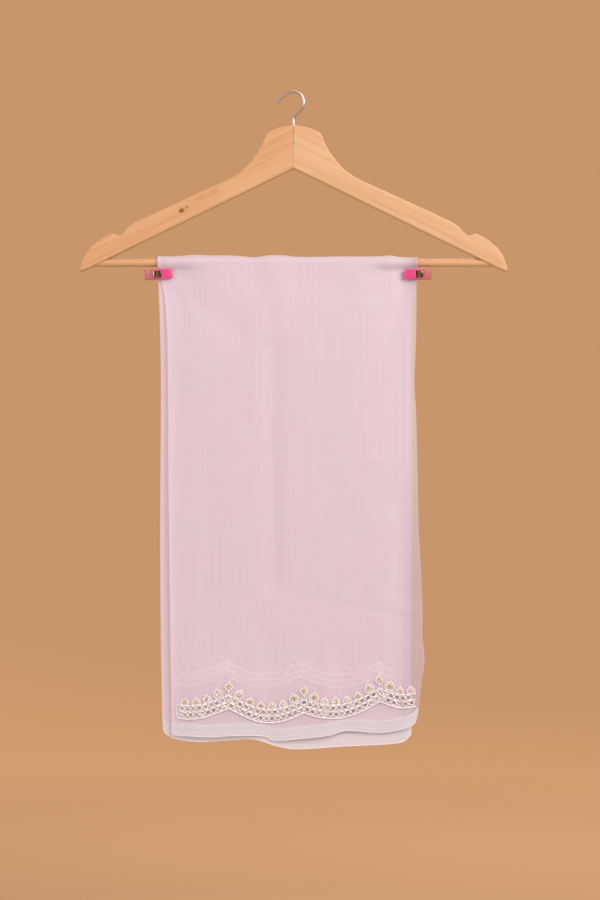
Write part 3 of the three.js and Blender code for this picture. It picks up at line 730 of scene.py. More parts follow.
def leg_rows(panel, side):
    legs = []
    count = round(LEG_LENGTH / ROW_STEP)
    for k in range(count + 1):
        legs.append(Row(side, k / count, HEM_BAND, 0.0, None))
    band = round(HEM_BAND / HEM_ROW_STEP)
    radius = panel.hem_depth / 2
    for k in range(1, band):
        legs.append(Row(side, 1.0, mix(HEM_BAND, radius, k / band), 0.0, None))
    for inset, sunk in round_turn(panel.hem_depth, HEM_BAND + HEM_TUCK):
        legs.append(Row(side, 1.0, inset, sunk, None))
    return legs


def sheet_rows(panel):
    over = [Row(-1, 0, 0, 0.0, math.pi * k / BAR_STEPS) for k in range(1, BAR_STEPS)]
    return leg_rows(panel, -1)[::-1] + over + leg_rows(panel, 1)


def column_x(panel, column, z, side):
    left, right = edge_at(panel, "left", z, side), edge_at(panel, "right", z, side)
    inset = column.inset if column.share < 0.5 else -column.inset
    return mix(left, right, column.share) + inset


def sheet_point(panel, column, row):
    if row.angle is not None:
        x = column_x(panel, column, BAR_Z, 0)
        offset = panel.offset(x, 0, -1 if row.angle < math.pi / 2 else 1)
        return stack_point(x, Station(0, 0, row.angle), offset - column.sunk)
    x = column_x(panel, column, BAR_Z - LEG_LENGTH * row.share, row.side)
    for _ in range(2):
        full = hem_depth_at(panel, x, row.side)
        d = row.share * (full - HEM_BAND) + (HEM_BAND - row.above)
        if row.share < 1:
            d = row.share * (full - HEM_BAND)
        x = column_x(panel, column, BAR_Z - d, row.side)
    in_band = smooth((HEM_BAND - row.above) / HEM_STEP_WIDTH) if row.share == 1 else 0.0
    offset = panel.offset(x, d, row.side) + HEM_STEP_UP * in_band - column.sunk - row.sunk
    return stack_point(x, Station(row.side, d), offset)


# %% Mesh of a sheet
def link_mesh(name, points, faces, finishes, slots=None):
    """Makes a shaded object from points in millimetres."""
    data = bpy.data.meshes.new(name)
    data.from_pydata([(x * MM, y * MM, z * MM) for x, y, z in points], [], faces)
    for finish in finishes:
        data.materials.append(finish)
    if slots is not None:
        data.polygons.foreach_set("material_index", slots)
    data.shade_smooth()
    data.validate()
    made = bpy.data.objects.new(name, data)
    bpy.context.scene.collection.objects.link(made)
    return made


def make_sheet(name, panel, finishes):
    columns, rows = sheet_columns(panel), sheet_rows(panel)
    points = [sheet_point(panel, column, row) for row in rows for column in columns]
    wide = len(columns)
    faces, slots = [], []
    for j in range(len(rows) - 1):
        hemmed = all(r.angle is None and r.share == 1 for r in (rows[j], rows[j + 1]))
        for i in range(wide - 1):
            corner = j * wide + i
            faces.append((corner, corner + 1, corner + wide + 1, corner + wide))
            slots.append(1 if hemmed else 0)
    made = link_mesh(name, points, faces, finishes, slots)
    print(name, "quads", len(faces))
    return made


# %% [markdown]
# Both sheets come from the same function. Only their outlines, their offsets and the side on
# which the cloth turns back into the stack differ. Their hem bands take a second, whiter finish.

# %% Outer and second sheets
outer_panel = Panel(
    OUTER_LEFT, OUTER_RIGHT, OUTER_HEM, outer_offset,
    turned="right", turn_width=0.9, turn_depth=0.8, hem_depth=0.5,
)
second_panel = Panel(
    SECOND_LEFT, SECOND_RIGHT, SECOND_HEM, second_offset,
    turned="left", turn_width=2.4, turn_depth=0.7, hem_depth=0.4,
)

outer_sheet = make_sheet("organza_outer_sheet", outer_panel, [sheer, hem_cloth])
second_sheet = make_sheet("organza_second_sheet", second_panel, [sheer_second, hem_cloth])
for piece, replaced, slot in (
    (outer_sheet, "saree_outer_panel", "organza"),
    (second_sheet, "saree_second_panel", "organza_second"),
):
    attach(piece, "root")
    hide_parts(replaced)


# %% [markdown]
# Hem rolls, border threads, the bar and the hook are all round things that follow a path. Blender's
# curves can bevel themselves, but a small function gives the same tube with a radius for
# each point and a known first side, so threads can twist and a wire can end in a round tip.

# %% Threads and wires are tubes
def tube(path, radii, sides, outwards, closed=False):
    """A round thread along a path. outwards is the direction that the first side faces."""
    points, faces = [], []
    count = len(path)
    for k in range(count):
        before = path[(k - 1) % count] if closed or k else path[0]
        after = path[(k + 1) % count] if closed or k < count - 1 else path[-1]
        ahead = (after - before).normalized()
        across = ahead.cross(outwards[k] if isinstance(outwards, list) else outwards).normalized()
        up = across.cross(ahead)
        radius = radii[k] if isinstance(radii, list) else radii
        for side in range(sides):
            angle = 2 * math.pi * side / sides
            points.append(path[k] + radius * (math.sin(angle) * across + math.cos(angle) * up))
    spans = count if closed else count - 1
    for k in range(spans):
        here, there = k * sides, ((k + 1) % count) * sides
        for side in range(sides):
            nxt = (side + 1) % sides
            faces.append((here + side, there + side, there + nxt, here + nxt))
    if not closed:
        faces.append(tuple(range(sides)))
        faces.append(tuple(reversed(range((count - 1) * sides, count * sides))))
    return points, faces


# %% [markdown]
# The lowest edge of each hem shows as a fine bright line, because there the cloth turns through
# a tight bend and its threads lie close together. A thin roll of cloth along that edge gives
# the line from every side. A light colour in the material would only show from the front.
# Finer cords run along the band above it, where the loom put a few thicker threads together.

# %% Rolled hem edges
EDGE_ROLL = 0.42
EDGE_COLUMNS = 150
EDGE_INSET = 0.8
HEM_LINE = 0.14
HEM_LINES = [4.3, 11.2]
hem_edge_finish = organza("organza_hem_edge", (0.90, 0.80, 0.84), (0.88, 0.80, 0.83), 1.0)


def make_hem_edges():
    points, faces = [], []
    cords = [(EDGE_ROLL, EDGE_ROLL, 6)] + [(above, HEM_LINE, 4) for above in HEM_LINES]
    for panel, side in itertools.product((outer_panel, second_panel), (-1, 1)):
        for above, radius, sides in cords:
            sunk = panel.hem_depth / 2 if above == EDGE_ROLL else 0.0
            path = []
            for k in range(EDGE_COLUMNS + 1):
                column = Column(k / EDGE_COLUMNS, EDGE_INSET, 0.0)
                row = Row(side, 1.0, above, sunk, None)
                path.append(Vector(sheet_point(panel, column, row)))
            rolled, around = tube(path, radius, sides, Vector((0, side, 0)))
            start = len(points)
            points += [tuple(p) for p in rolled]
            faces += [tuple(start + k for k in face) for face in around]
    made = link_mesh("hem_edge_rolls", points, faces, [hem_edge_finish])
    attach(made, "root")
    print("hem_edge_rolls quads", len(faces))
    return made


hem_edges = make_hem_edges()


# %% [markdown]
# Under the two sheets lie the other folds of the saree, about twenty plies. They are pressed
# together, so a block could stand for them, but at the sides and at the bottom the eye sees
# separate folds. So the block is six thin slabs, one for each few plies, with round side edges
# that stop at slightly different places. They share the thickness and never touch.

# %% Inner folds
FoldPly = namedtuple("FoldPly", "left right end")
PLIES = [
    FoldPly(1.6, 0.4, 2.5),
    FoldPly(0.2, 2.2, 0.0),
    FoldPly(2.4, 0.9, 4.4),
    FoldPly(0.8, 3.0, 1.2),
    FoldPly(3.1, 0.2, 3.4),
    FoldPly(0.0, 1.7, 0.6),
]
PLY_COLUMNS = 40
PLY_EDGE_STEPS = 3
PLY_LENGTH = 460
PLY_ROW_STEP = 7.0
# Rows close under the bar, where the plies leave its round
PLY_BAR_ROWS = (1.5, 3.0, 4.5)
PLY_BAR_STEPS = 16
PLY_FILL = 0.84


def ply_ring():
    """One turn round a slab: share across, and share of its thickness."""
    ring = [(k / PLY_COLUMNS, 1.0) for k in range(PLY_COLUMNS + 1)]
    round_edge = [math.pi * k / (PLY_EDGE_STEPS + 1) for k in range(1, PLY_EDGE_STEPS + 1)]
    ring += [(1 + math.sin(angle), 0.5 + 0.5 * math.cos(angle)) for angle in round_edge]
    ring += [(1 - k / PLY_COLUMNS, 0.0) for k in range(PLY_COLUMNS + 1)]
    ring += [(-math.sin(angle), 0.5 - 0.5 * math.cos(angle)) for angle in round_edge]
    return ring


def ply_stations():
    count = round(PLY_LENGTH / PLY_ROW_STEP)
    leg = [k / count for k in range(count + 1)]
    leg[1:1] = [d / PLY_LENGTH for d in PLY_BAR_ROWS]
    over = [math.pi * k / PLY_BAR_STEPS for k in range(1, PLY_BAR_STEPS)]
    front = [(-1, share, None) for share in reversed(leg)]
    return front + [(0, 0, angle) for angle in over] + [(1, share, None) for share in leg]


def ply_point(ply, order, turn, station):
    side, down, angle = station
    share, through = turn
    z = BAR_Z - PLY_LENGTH * down
    left, right = CORE_LEFT(z) + ply.left, CORE_RIGHT(z) - ply.right
    if side > 0:
        narrow = BACK_INSET * smooth((BAR_Z - z) / BACK_NARROWS_OVER)
        left, right = left + narrow, right - narrow
    x = mix(left, right, clamp(share))
    end = BAR_Z - CORE_END(x) - (BACK_RISE if side > 0 else 0) - ply.end
    d = down * end
    thickness = core_thickness(x, d)
    each = thickness / len(PLIES)
    if share > 1:
        x += (share - 1) * each * PLY_FILL / 2
    if share < 0:
        x += share * each * PLY_FILL / 2
    offset = each * (order + (1 - PLY_FILL) / 2 + PLY_FILL * through)
    if angle is not None:
        return stack_point(x, Station(0, 0, angle), offset)
    return stack_point(x, Station(side, d), offset)


def make_inner_folds():
    points, faces = [], []
    ring, stations = ply_ring(), ply_stations()
    for order, ply in enumerate(PLIES):
        start = len(points)
        for station in stations:
            points += [ply_point(ply, order, turn, station) for turn in ring]
        size = len(ring)
        for j in range(len(stations) - 1):
            for i in range(size):
                a, b = start + j * size + i, start + j * size + (i + 1) % size
                faces.append((a, a + size, b + size, b))
        faces.append(tuple(start + i for i in range(size)))
        last = start + (len(stations) - 1) * size
        faces.append(tuple(last + i for i in reversed(range(size))))
    made = link_mesh("organza_inner_folds", points, faces, [stacked])
    print("organza_inner_folds quads", len(faces))
    return made


inner_folds = make_inner_folds()
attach(inner_folds, "root")
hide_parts("saree_inner_folds")


# %% [markdown]
# The border is handwork: a cord laid in scallops, two rows of sequins held down in loops of
# thread, a row of small leaf petals and a taller leaf over each point where two scallops meet.
# It could be painted on as a texture, but beadwork is read by its glints and its shadows, so
# every bead is a small shape. All of one kind go into one mesh, which keeps the file light.
# A border frame gives each bead its place on the cloth: along the scallop, up, and outwards.

# %% Heap of small shapes, tubes and beads
class Heap:
    """Many small shapes that become one mesh."""

    def __init__(self):
        self.points, self.faces, self.slots = [], [], []

    def add(self, points, faces, slot=0):
        start = len(self.points)
        self.points += [tuple(p) for p in points]
        self.faces += [tuple(start + k for k in face) for face in faces]
        self.slots += [slot] * len(faces)

    def make(self, name, finishes):
        made = link_mesh(name, self.points, self.faces, finishes, self.slots)
        made.data.calc_loop_triangles()
        print(name, "triangles", len(made.data.loop_triangles))
        return made


def dome(steps, rings):
    """A unit ball that is cut into rings."""
    points, faces = [(0, 0, 1.0)], []
    for ring in range(1, rings):
        polar = math.pi * ring / rings
        for step in range(steps):
            angle = 2 * math.pi * step / steps
            points.append((
                math.sin(polar) * math.cos(angle),
                math.sin(polar) * math.sin(angle),
                math.cos(polar),
            ))
    points.append((0, 0, -1.0))
    for step in range(steps):
        nxt = (step + 1) % steps
        faces.append((0, 1 + step, 1 + nxt))
        for ring in range(rings - 2):
            a, b = 1 + ring * steps, 1 + (ring + 1) * steps
            faces.append((a + step, b + step, b + nxt, a + nxt))
        foot = 1 + (rings - 2) * steps
        faces.append((len(points) - 1, foot + nxt, foot + step))
    return points, faces


def sequin_shape(rings, steps):
    """A cupped disc of unit radius with a hole in the middle and a real thickness."""
    points, faces = [], []
    for radius, height in rings:
        for step in range(steps):
            angle = 2 * math.pi * step / steps
            points.append((radius * math.cos(angle), radius * math.sin(angle), height))
    for ring in range(len(rings)):
        here, there = ring * steps, ((ring + 1) % len(rings)) * steps
        for step in range(steps):
            nxt = (step + 1) % steps
            faces.append((here + step, there + step, there + nxt, here + nxt))
    return points, faces


def placed(points, spot, size):
    """Moves a unit shape to a spot, with its own size along, up and out."""
    place, along, up, out = spot
    return [place + x * size[0] * along + y * size[1] * up + z * size[2] * out
            for x, y, z in points]


# Radius and height of a sequin's rings, from the hole over the top to the rim and back below
SEQUIN_RINGS = [
    (0.17, 0.10), (0.55, 0.13), (0.86, 0.24), (1.0, 0.40), (0.93, 0.28), (0.55, 0.03), (0.17, 0.0),
]
SEQUIN = sequin_shape(SEQUIN_RINGS, steps=14)
BEAD = dome(steps=8, rings=5)
print("points of a sequin", len(SEQUIN[0]), "and of a bead", len(BEAD[0]))


# %% [markdown]
# The thread is matt and pale, the sequins are foil in four tones, and the beads are pearl. Each
# finish has a little noise, so no two pieces are quite alike. One tone for all would be
# simpler, but real sequins catch the light one by one. The fold inside has a weak glow, which
# stands in for the light that reaches it through the cloth.

# %% Beadwork finishes
SOFT_WHITE = (1.0, 0.95, 0.95, 1)
FOIL_METALLIC = 0.85
FOIL_VARIES = 0.3


def silk(name, glow):
    finish = new_finish(name, {
        "Roughness": 0.5,
        "Sheen Weight": 0.3,
        "Specular IOR Level": 0.4,
        "Emission Color": SOFT_WHITE,
        "Emission Strength": glow,
    })
    tone = noise(finish, (260, 260, 260), 1.0)
    feed(finish, "Base Color", ramp(finish, tone, [
        (0.35, (0.93, 0.78, 0.78)), (0.65, (0.97, 0.90, 0.88)),
    ]))
    bump(finish, noise(finish, (2600, 2600, 2600), 1.0), 0.5, 0.08 * MM)
    return finish


def foil(name, dark, bright, roughness):
    settings = {"Metallic": FOIL_METALLIC, "Roughness": roughness, "Coat Weight": 0.3}
    finish = new_finish(name, settings)
    tone = ramp(finish, noise(finish, (330, 330, 330), 1.0), [(0.35, dark), (0.65, bright)])
    feed(finish, "Base Color", tone)
    grain = noise(finish, (1500, 1500, 1500), 1.0)
    least, most = roughness * (1 - FOIL_VARIES), roughness * (1 + FOIL_VARIES)
    feed(finish, "Roughness", span(finish, grain, least, most))
    return finish


sequin_finishes = [
    foil("sequin_pale_gold", (0.60, 0.51, 0.33), (0.76, 0.68, 0.50), 0.3),
    foil("sequin_amber", (0.50, 0.32, 0.16), (0.66, 0.46, 0.26), 0.26),
    foil("sequin_bronze", (0.20, 0.14, 0.10), (0.38, 0.29, 0.20), 0.26),
    foil("sequin_silver", (0.80, 0.74, 0.70), (0.95, 0.90, 0.86), 0.22),
]
PALE_GOLD, AMBER, BRONZE, SILVER = range(4)


def pearl(name, glow):
    finish = new_finish(name, {
        "Roughness": 0.22,
        "Coat Weight": 0.6,
        "Sheen Weight": 0.2,
        "Emission Color": SOFT_WHITE,
        "Emission Strength": glow,
    })
    tone = noise(finish, (420, 420, 420), 1.0)
    feed(finish, "Base Color", ramp(finish, tone, [
        (0.35, (0.80, 0.70, 0.66)), (0.65, (0.93, 0.88, 0.86)),
    ]))
    return finish


outside = (silk("border_thread", 0.0), pearl("border_pearl", 0.0))
hidden = (silk("border_thread_inside", 0.06), pearl("border_pearl_inside", 0.35))
petal_fill = new_finish("border_petal_fill", {"Roughness": 0.5, "Sheen Weight": 0.25})
stitched = noise(petal_fill, (1700, 1700, 260), 1.0)
feed(petal_fill, "Base Color", ramp(
    petal_fill,
    noise(petal_fill, (170, 170, 170), 1.0),
    [(0.35, (0.70, 0.58, 0.46)), (0.65, (0.82, 0.70, 0.62))],
))
bump(petal_fill, stitched, 0.5, 0.12 * MM)
print("sequin tones", len(sequin_finishes))


# %% [markdown]
# A border frame turns two numbers into a place on the cloth: how far across, and how high over
# the scalloped lower edge. It also gives the directions along, up and outwards there, so each
# thread and bead lies on the folds of the sheet. The rows are then lists of such places.

# %% Border frame
CUSP_X, PITCH = -67.4, 78.3
LOW, SCALLOP = 18.0, 11.0
BAND_RISE = 14.0
PETALS_AT = [9.4, 20.8, 32.8, 45.0, 57.2, 68.9]
END_BULGE, LOOSE_END = 1.8, 5.6
CELLS_A_SCALLOP = 13
LOWER_ROW, MIDDLE_LINE, UPPER_ROW = 4.1, 7.2, 10.4
TOP_LINE = BAND_RISE - 0.4
SPOT_STEP = 0.6
Cloth = namedtuple("Cloth", "panel side base lift shift start end")
BORDER_BASE = curve_through([
    (-120, -668.2), (-67.4, -667.8), (-28, -672.0), (10.9, -672.4), (45, -667.6), (89.7, -660.9),
    (110.5, -659.2), (124.5, -655.0),
])


def scallop_height(x):
    return LOW + SCALLOP * (1 - abs(math.sin(math.pi * (x - CUSP_X) / PITCH)))


def border_place(cloth, x, rise):
    """A point of the border. x is across as seen from that side of the cloth."""
    there = -cloth.side * x
    base = BAR_Z - cloth.base(there) - (BACK_RISE if cloth.side > 0 else 0)
    d = base - scallop_height(x - cloth.shift) - rise
    offset = cloth.panel.offset(there, d, cloth.side) + cloth.lift
    return Vector(stack_point(there, Station(cloth.side, d), offset))


def border_spot(cloth, x, rise, lift=0.0):
    """Place, and unit directions along, up and outwards."""
    place = border_place(cloth, x, rise)
    ahead = border_place(cloth, x + SPOT_STEP, rise) - border_place(cloth, x - SPOT_STEP, rise)
    along = ahead.normalized()
    climb = border_place(cloth, x, rise + SPOT_STEP) - place
    out = climb.cross(along).normalized()
    if out.y * cloth.side < 0:
        out = -out
    up = out.cross(along).normalized()
    if up.z < 0:
        up = -up
    return place + lift * out, along, up, out


print("scallops are", PITCH, "mm apart")


# %% [markdown]
# The border is laid in the order of the needle: the cord and the lines, the loops, the thread
# that crosses the sequins, and last the end of the band. Each is a tube along a list of places.
# Curve objects would be easier to bend by hand, but a list is worked out for the whole
# length at once, and a change to the scallops moves all of it.

# %% Threads of the border
LINE_STEP, LINE_RIPPLES = 1.3, 1.9
LINE_SIDES, CORD_SIDES, FINE_SIDES = 6, 5, 4
CORD_TWIST, CORD_STEP = 2.6, 0.42
# How far each ply of the cord lies from its middle, and how thick it is, as shares of its radius
CORD_WINDS, CORD_PLY = 0.55, 0.62
CROSSING_LIFT, CROSSING_STEPS = 0.6, 4
# The end thread hangs straight for a while and then swings out round the band
END_STEPS = 18
END_PACE, END_WAITS = 1.45, 0.45
LOOP_STEPS = 14


def border_line(heap, cloth, rise, radius, ripple):
    """A thread that runs along the scallops."""
    count = round((cloth.end - cloth.start) / LINE_STEP)
    path, outs = [], []
    for k in range(count + 1):
        x = mix(cloth.start, cloth.end, k / count)
        wobble = ripple * math.sin(LINE_RIPPLES * k)
        place, _, _, out = border_spot(cloth, x, rise + wobble, radius)
        path.append(place)
        outs.append(out)
    heap.add(*tube(path, radius, LINE_SIDES, outs))


def twisted_cord(heap, cloth, radius):
    """Two plies that wind round each other along the lower edge."""
    count = round((cloth.end - cloth.start) / CORD_STEP)
    for ply in (0, math.pi):
        path, outs = [], []
        for k in range(count + 1):
            x = mix(cloth.start, cloth.end, k / count)
            place, _, up, out = border_spot(cloth, x, 0.0, radius)
            angle = ply + 2 * math.pi * k * CORD_STEP / CORD_TWIST
            towards = math.cos(angle) * up + math.sin(angle) * out
            path.append(place + CORD_WINDS * radius * towards)
            outs.append(out)
        heap.add(*tube(path, CORD_PLY * radius, CORD_SIDES, outs))


def crossing_thread(heap, cloth, rise, reach, radius, phase):
    """A thread that passes over one sequin and under the next, all along a row."""
    pitch = PITCH / CELLS_A_SCALLOP
    count = round(CROSSING_STEPS * (cloth.end - cloth.start) / pitch)
    path, outs = [], []
    for k in range(count + 1):
        x = mix(cloth.start, cloth.end, k / count)
        wave = reach * math.cos(math.pi * ((x - CUSP_X) / pitch - phase))
        place, _, _, out = border_spot(cloth, x, rise + wave, CROSSING_LIFT + radius)
        path.append(place)
        outs.append(out)
    heap.add(*tube(path, radius, FINE_SIDES, outs))


def border_end(heap, cloth, radius):
    """Closes the left end of the band, and leaves the loose thread that hangs there."""
    path, outs = [], []
    for k in range(END_STEPS + 1):
        t = k / END_STEPS
        x = cloth.start - END_BULGE * math.sin(math.pi * clamp(END_PACE * t - END_WAITS))
        place, _, _, out = border_spot(cloth, x, mix(-LOOSE_END, BAND_RISE, t), radius)
        path.append(place)
        outs.append(out)
    heap.add(*tube(path, radius, LINE_SIDES, outs))


def thread_loop(heap, spot, wide, tall, radius, shape=None):
    """A loop of thread round a bead. shape gives other outlines as (x, y) points."""
    place, along, up, out = spot
    angles = [2 * math.pi * k / LOOP_STEPS for k in range(LOOP_STEPS)]
    outline = shape or [(math.cos(angle), math.sin(angle)) for angle in angles]
    path = [place + x * wide * along + y * tall * up + radius * out for x, y in outline]
    heap.add(*tube(path, radius, FINE_SIDES, out, closed=True))


# %% [markdown]
# A petal is a loop of thread in the form of a leaf. It is padded in the middle, with a small
# sequin at its heart and beads at its foot and its tip. No two are sewn alike, so each leans by
# a little random amount. The seed is fixed, so the border is the same at each run.

# %% Petals and leaves
def either_way(draw, most):
    """A random amount, up to the stated one to either side."""
    return draw.uniform(-most, most)


def tilted(spot, across, upwards):
    """Turns a spot a little, as a loosely sewn sequin lies."""
    place, along, up, out = spot
    lean = (out + math.tan(across) * along + math.tan(upwards) * up).normalized()
    ahead = (along - along.dot(lean) * lean).normalized()
    return place, ahead, lean.cross(ahead), lean


def leaf_outline(half):
    """A pointed leaf that stands on its base, from the (x, y) points of its right half."""
    return half + [(-x, y) for x, y in reversed(half[:-1])]


PETAL = leaf_outline([
    (0.34, 0.0), (0.50, 0.12), (0.58, 0.28), (0.55, 0.44), (0.42, 0.60), (0.24, 0.76), (0.10, 0.90),
    (0.0, 1.0),
])
FINIAL = leaf_outline([
    (0.12, 0.0), (0.30, 0.10), (0.48, 0.22), (0.62, 0.37), (0.50, 0.52), (0.34, 0.70), (0.16, 0.87),
    (0.0, 1.0),
])


# Each border is four heaps, one for each finish
Heaps = namedtuple("Heaps", "threads fills beads sequins")
PETAL_LIFT, PETAL_THREAD = 0.05, 0.62
FILL_SHARE, FILL_FOOT, FILL_SWELL, FILL_RIM_LIFT, FILL_ROUND = 0.8, 0.10, 0.75, 0.2, 0.22
HEART_RISE, HEART_LEAN, HEART_SHARES, HEART_CUP = 0.40, 0.16, (0.25, 0.22), 0.9
# Beads at the foot and the tip of a petal: across, up, radius
PETAL_BEADS = ((-0.44, 0.0, 0.55), (0.44, 0.0, 0.55), (0.0, 1.02, 0.5))
PETAL_BEAD_LIFT = 0.5


def petal(heaps, cloth, outline, x, rise, wide, tall, finish, draw):
    """A looped thread, a padded filling, a sequin at its heart and three small beads."""
    spot = border_spot(cloth, x, rise, PETAL_LIFT)
    place, along, up, out = spot
    thread_loop(heaps.threads, spot, wide, tall, PETAL_THREAD, outline)
    inner = [(FILL_SHARE * px, FILL_FOOT + FILL_SHARE * py) for px, py in outline]
    middle = place + HEART_RISE * tall * up + FILL_SWELL * out
    rim = [place + px * wide * along + py * tall * up + FILL_RIM_LIFT * out for px, py in inner]
    half = [mix(p, middle, 0.5) + FILL_ROUND * out for p in rim]
    count = len(rim)
    faces = [(k, (k + 1) % count, count + (k + 1) % count, count + k) for k in range(count)]
    faces += [(count + k, count + (k + 1) % count, 2 * count) for k in range(count)]
    heaps.fills.add(rim + half + [middle], faces)
    seat = (middle, along, up, out)
    seat = tilted(seat, either_way(draw, HEART_LEAN), either_way(draw, HEART_LEAN))
    size = (HEART_SHARES[0] * wide, HEART_SHARES[1] * tall, HEART_CUP)
    heaps.sequins.add(placed(SEQUIN[0], seat, size), SEQUIN[1], finish)
    for px, py, radius in PETAL_BEADS:
        ball = place + px * wide * along + py * tall * up + PETAL_BEAD_LIFT * out
        spot = (ball, along, up, out)
        heaps.beads.add(placed(BEAD[0], spot, (radius, radius, radius)), BEAD[1])


# %% Rows of the border
ROW_MARGIN, ROW_LIFT, ROW_STRAYS = 2.2, 0.15, 0.25
LOOP_WIDE, LOOP_TALL, LOOP_THREAD = 2.6, 2.4, 0.48
# The row is darker towards the right. A chance is (at the left, added at the right)
ROW_DARKENS = Change(-60, 90)
BRONZE_CHANCE, AMBER_CHANCE, SILVER_ABOVE = (0.05, 0.40), (0.28, 0.45), 0.9
SEQUIN_LEAN, SEQUIN_SIZE, SEQUIN_VARIES = 0.22, (1.55, 1.2, 1.0), 0.15
KNOT_BEAD, KNOT_LIFT = (0.55, 0.5, 0.36), 0.75
BEAD_SEAT = 0.45


def row_tone(x, chance):
    dark = done(ROW_DARKENS, x)
    if chance < BRONZE_CHANCE[0] + BRONZE_CHANCE[1] * dark:
        return BRONZE
    if chance < AMBER_CHANCE[0] + AMBER_CHANCE[1] * dark:
        return AMBER
    return SILVER if chance > SILVER_ABOVE else PALE_GOLD


def sequin_row(heaps, cloth, rise, draw, phase):
    pitch = PITCH / CELLS_A_SCALLOP
    first = math.ceil((cloth.start + ROW_MARGIN - CUSP_X) / pitch - phase)
    last = math.floor((cloth.end - ROW_MARGIN - CUSP_X) / pitch - phase)
    for cell in range(first, last + 1):
        x = CUSP_X + (cell + phase) * pitch
        spot = border_spot(cloth, x, rise + either_way(draw, ROW_STRAYS), ROW_LIFT)
        thread_loop(heaps.threads, spot, LOOP_WIDE, LOOP_TALL, LOOP_THREAD)
        finish = row_tone(x, draw.random())
        seat = tilted(spot, either_way(draw, SEQUIN_LEAN), either_way(draw, SEQUIN_LEAN))
        size = (SEQUIN_SIZE[0] + either_way(draw, SEQUIN_VARIES), *SEQUIN_SIZE[1:])
        heaps.sequins.add(placed(SEQUIN[0], seat, size), SEQUIN[1], finish)
        knot = border_spot(cloth, x, rise, KNOT_LIFT)
        heaps.beads.add(placed(BEAD[0], knot, KNOT_BEAD), BEAD[1])


def bead_line(beads, cloth, rise, pitch, radius):
    count = round((cloth.end - cloth.start) / pitch)
    for k in range(1, count):
        x = mix(cloth.start, cloth.end, k / count)
        spot = border_spot(cloth, x, rise, BEAD_SEAT * radius)
        beads.add(placed(BEAD[0], spot, (radius, radius, radius)), BEAD[1])


# %% Scallops and the whole border
FINIAL_RISE, FINIAL_SIZE = 18.8, (6.6, 8.8)
# Pearls at a point: across, rise, radius
CUSP_PEARLS = [
    (0, 17.2, 1.25), (-2.6, 15.6, 0.8), (2.6, 15.6, 0.8), (0, 7.2, 1.2), (0, 13.6, 0.95),
    (-3.1, 7.4, 0.75), (3.1, 7.4, 0.75),
]
PEARL_FLAT, PEARL_SEAT = 0.85, 0.5
CORD_RADIUS, END_RADIUS = 0.78, 0.5
CROSSING_REACH, CROSSING_RADIUS = 2.3, 0.3
# Rise, thread radius, its ripple, bead pitch, bead radius
BEADED_LINES = [(MIDDLE_LINE, 0.46, 0.28, 3.0, 0.45), (TOP_LINE, 0.55, 0.2, 2.8, 0.42)]
SEQUIN_ROWS = [(LOWER_ROW, 0.5), (UPPER_ROW, 0.0)]
PETAL_MARGIN, PETAL_SIZE, PALE_PETALS = 3.5, (7.2, 7.6), 0.72
# The petals on both sides of a point are larger and stand a little higher
SIDE_PETAL_GROWS, SIDE_PETAL_LIFTS = 1.2, 1.4
PETAL_GROWS = (0.9, 1.06)


def cusp_cluster(heaps, cloth, cusp, draw):
    """The taller leaf and the pearls over the point where two scallops meet."""
    petal(heaps, cloth, FINIAL, cusp, FINIAL_RISE, *FINIAL_SIZE, PALE_GOLD, draw)
    for x, rise, radius in CUSP_PEARLS:
        if cloth.start < cusp + x < cloth.end:
            spot = border_spot(cloth, cusp + x, rise, PEARL_SEAT * radius)
            heaps.beads.add(placed(BEAD[0], spot, (radius, radius, PEARL_FLAT * radius)), BEAD[1])


def petal_row(heaps, cloth, draw):
    for scallop, along in itertools.product(range(-1, 3), [0.0] + PETALS_AT):
        x = CUSP_X + scallop * PITCH + along
        if not cloth.start + PETAL_MARGIN < x < cloth.end - PETAL_MARGIN:
            continue
        if along == 0:
            cusp_cluster(heaps, cloth, x, draw)
            continue
        beside = along in (PETALS_AT[0], PETALS_AT[-1])
        grow = SIDE_PETAL_GROWS if beside else draw.uniform(*PETAL_GROWS)
        rise = BAND_RISE + (SIDE_PETAL_LIFTS if beside else 0.0)
        finish = PALE_GOLD if draw.random() < PALE_PETALS else SILVER
        wide, tall = PETAL_SIZE[0] * grow, PETAL_SIZE[1] * grow
        petal(heaps, cloth, PETAL, x, rise, wide, tall, finish, draw)


def make_border(name, cloth, seed, finishes, replaced=None):
    draw = random.Random(seed)
    heaps = Heaps(Heap(), Heap(), Heap(), Heap())
    twisted_cord(heaps.threads, cloth, CORD_RADIUS)
    for rise, radius, ripple, pitch, bead in BEADED_LINES:
        border_line(heaps.threads, cloth, rise, radius, ripple)
        bead_line(heaps.beads, cloth, rise, pitch, bead)
    for rise, phase in SEQUIN_ROWS:
        sequin_row(heaps, cloth, rise, draw, phase)
    for rise, phase in SEQUIN_ROWS:
        crossing_thread(heaps.threads, cloth, rise, CROSSING_REACH, CROSSING_RADIUS, phase)
    border_end(heaps.threads, cloth, END_RADIUS)
    petal_row(heaps, cloth, draw)
    pieces = [
        heaps.threads.make(f"{name}_thread", [finishes[0]]),
        heaps.fills.make(f"{name}_petals", [petal_fill]),
        heaps.beads.make(f"{name}_beads", [finishes[1]]),
        heaps.sequins.make(f"{name}_sequins", sequin_finishes),
    ]
    for piece in pieces:
        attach(piece, "root")
    if replaced:
        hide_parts(replaced)
    return pieces


# %% [markdown]
# The same border is worked on three layers of the cloth: on the outer sheet in front, on the
# outer sheet behind, and on a fold inside, where it shows as a ghost through the sheer
# sheets, a little higher and a little to the left.

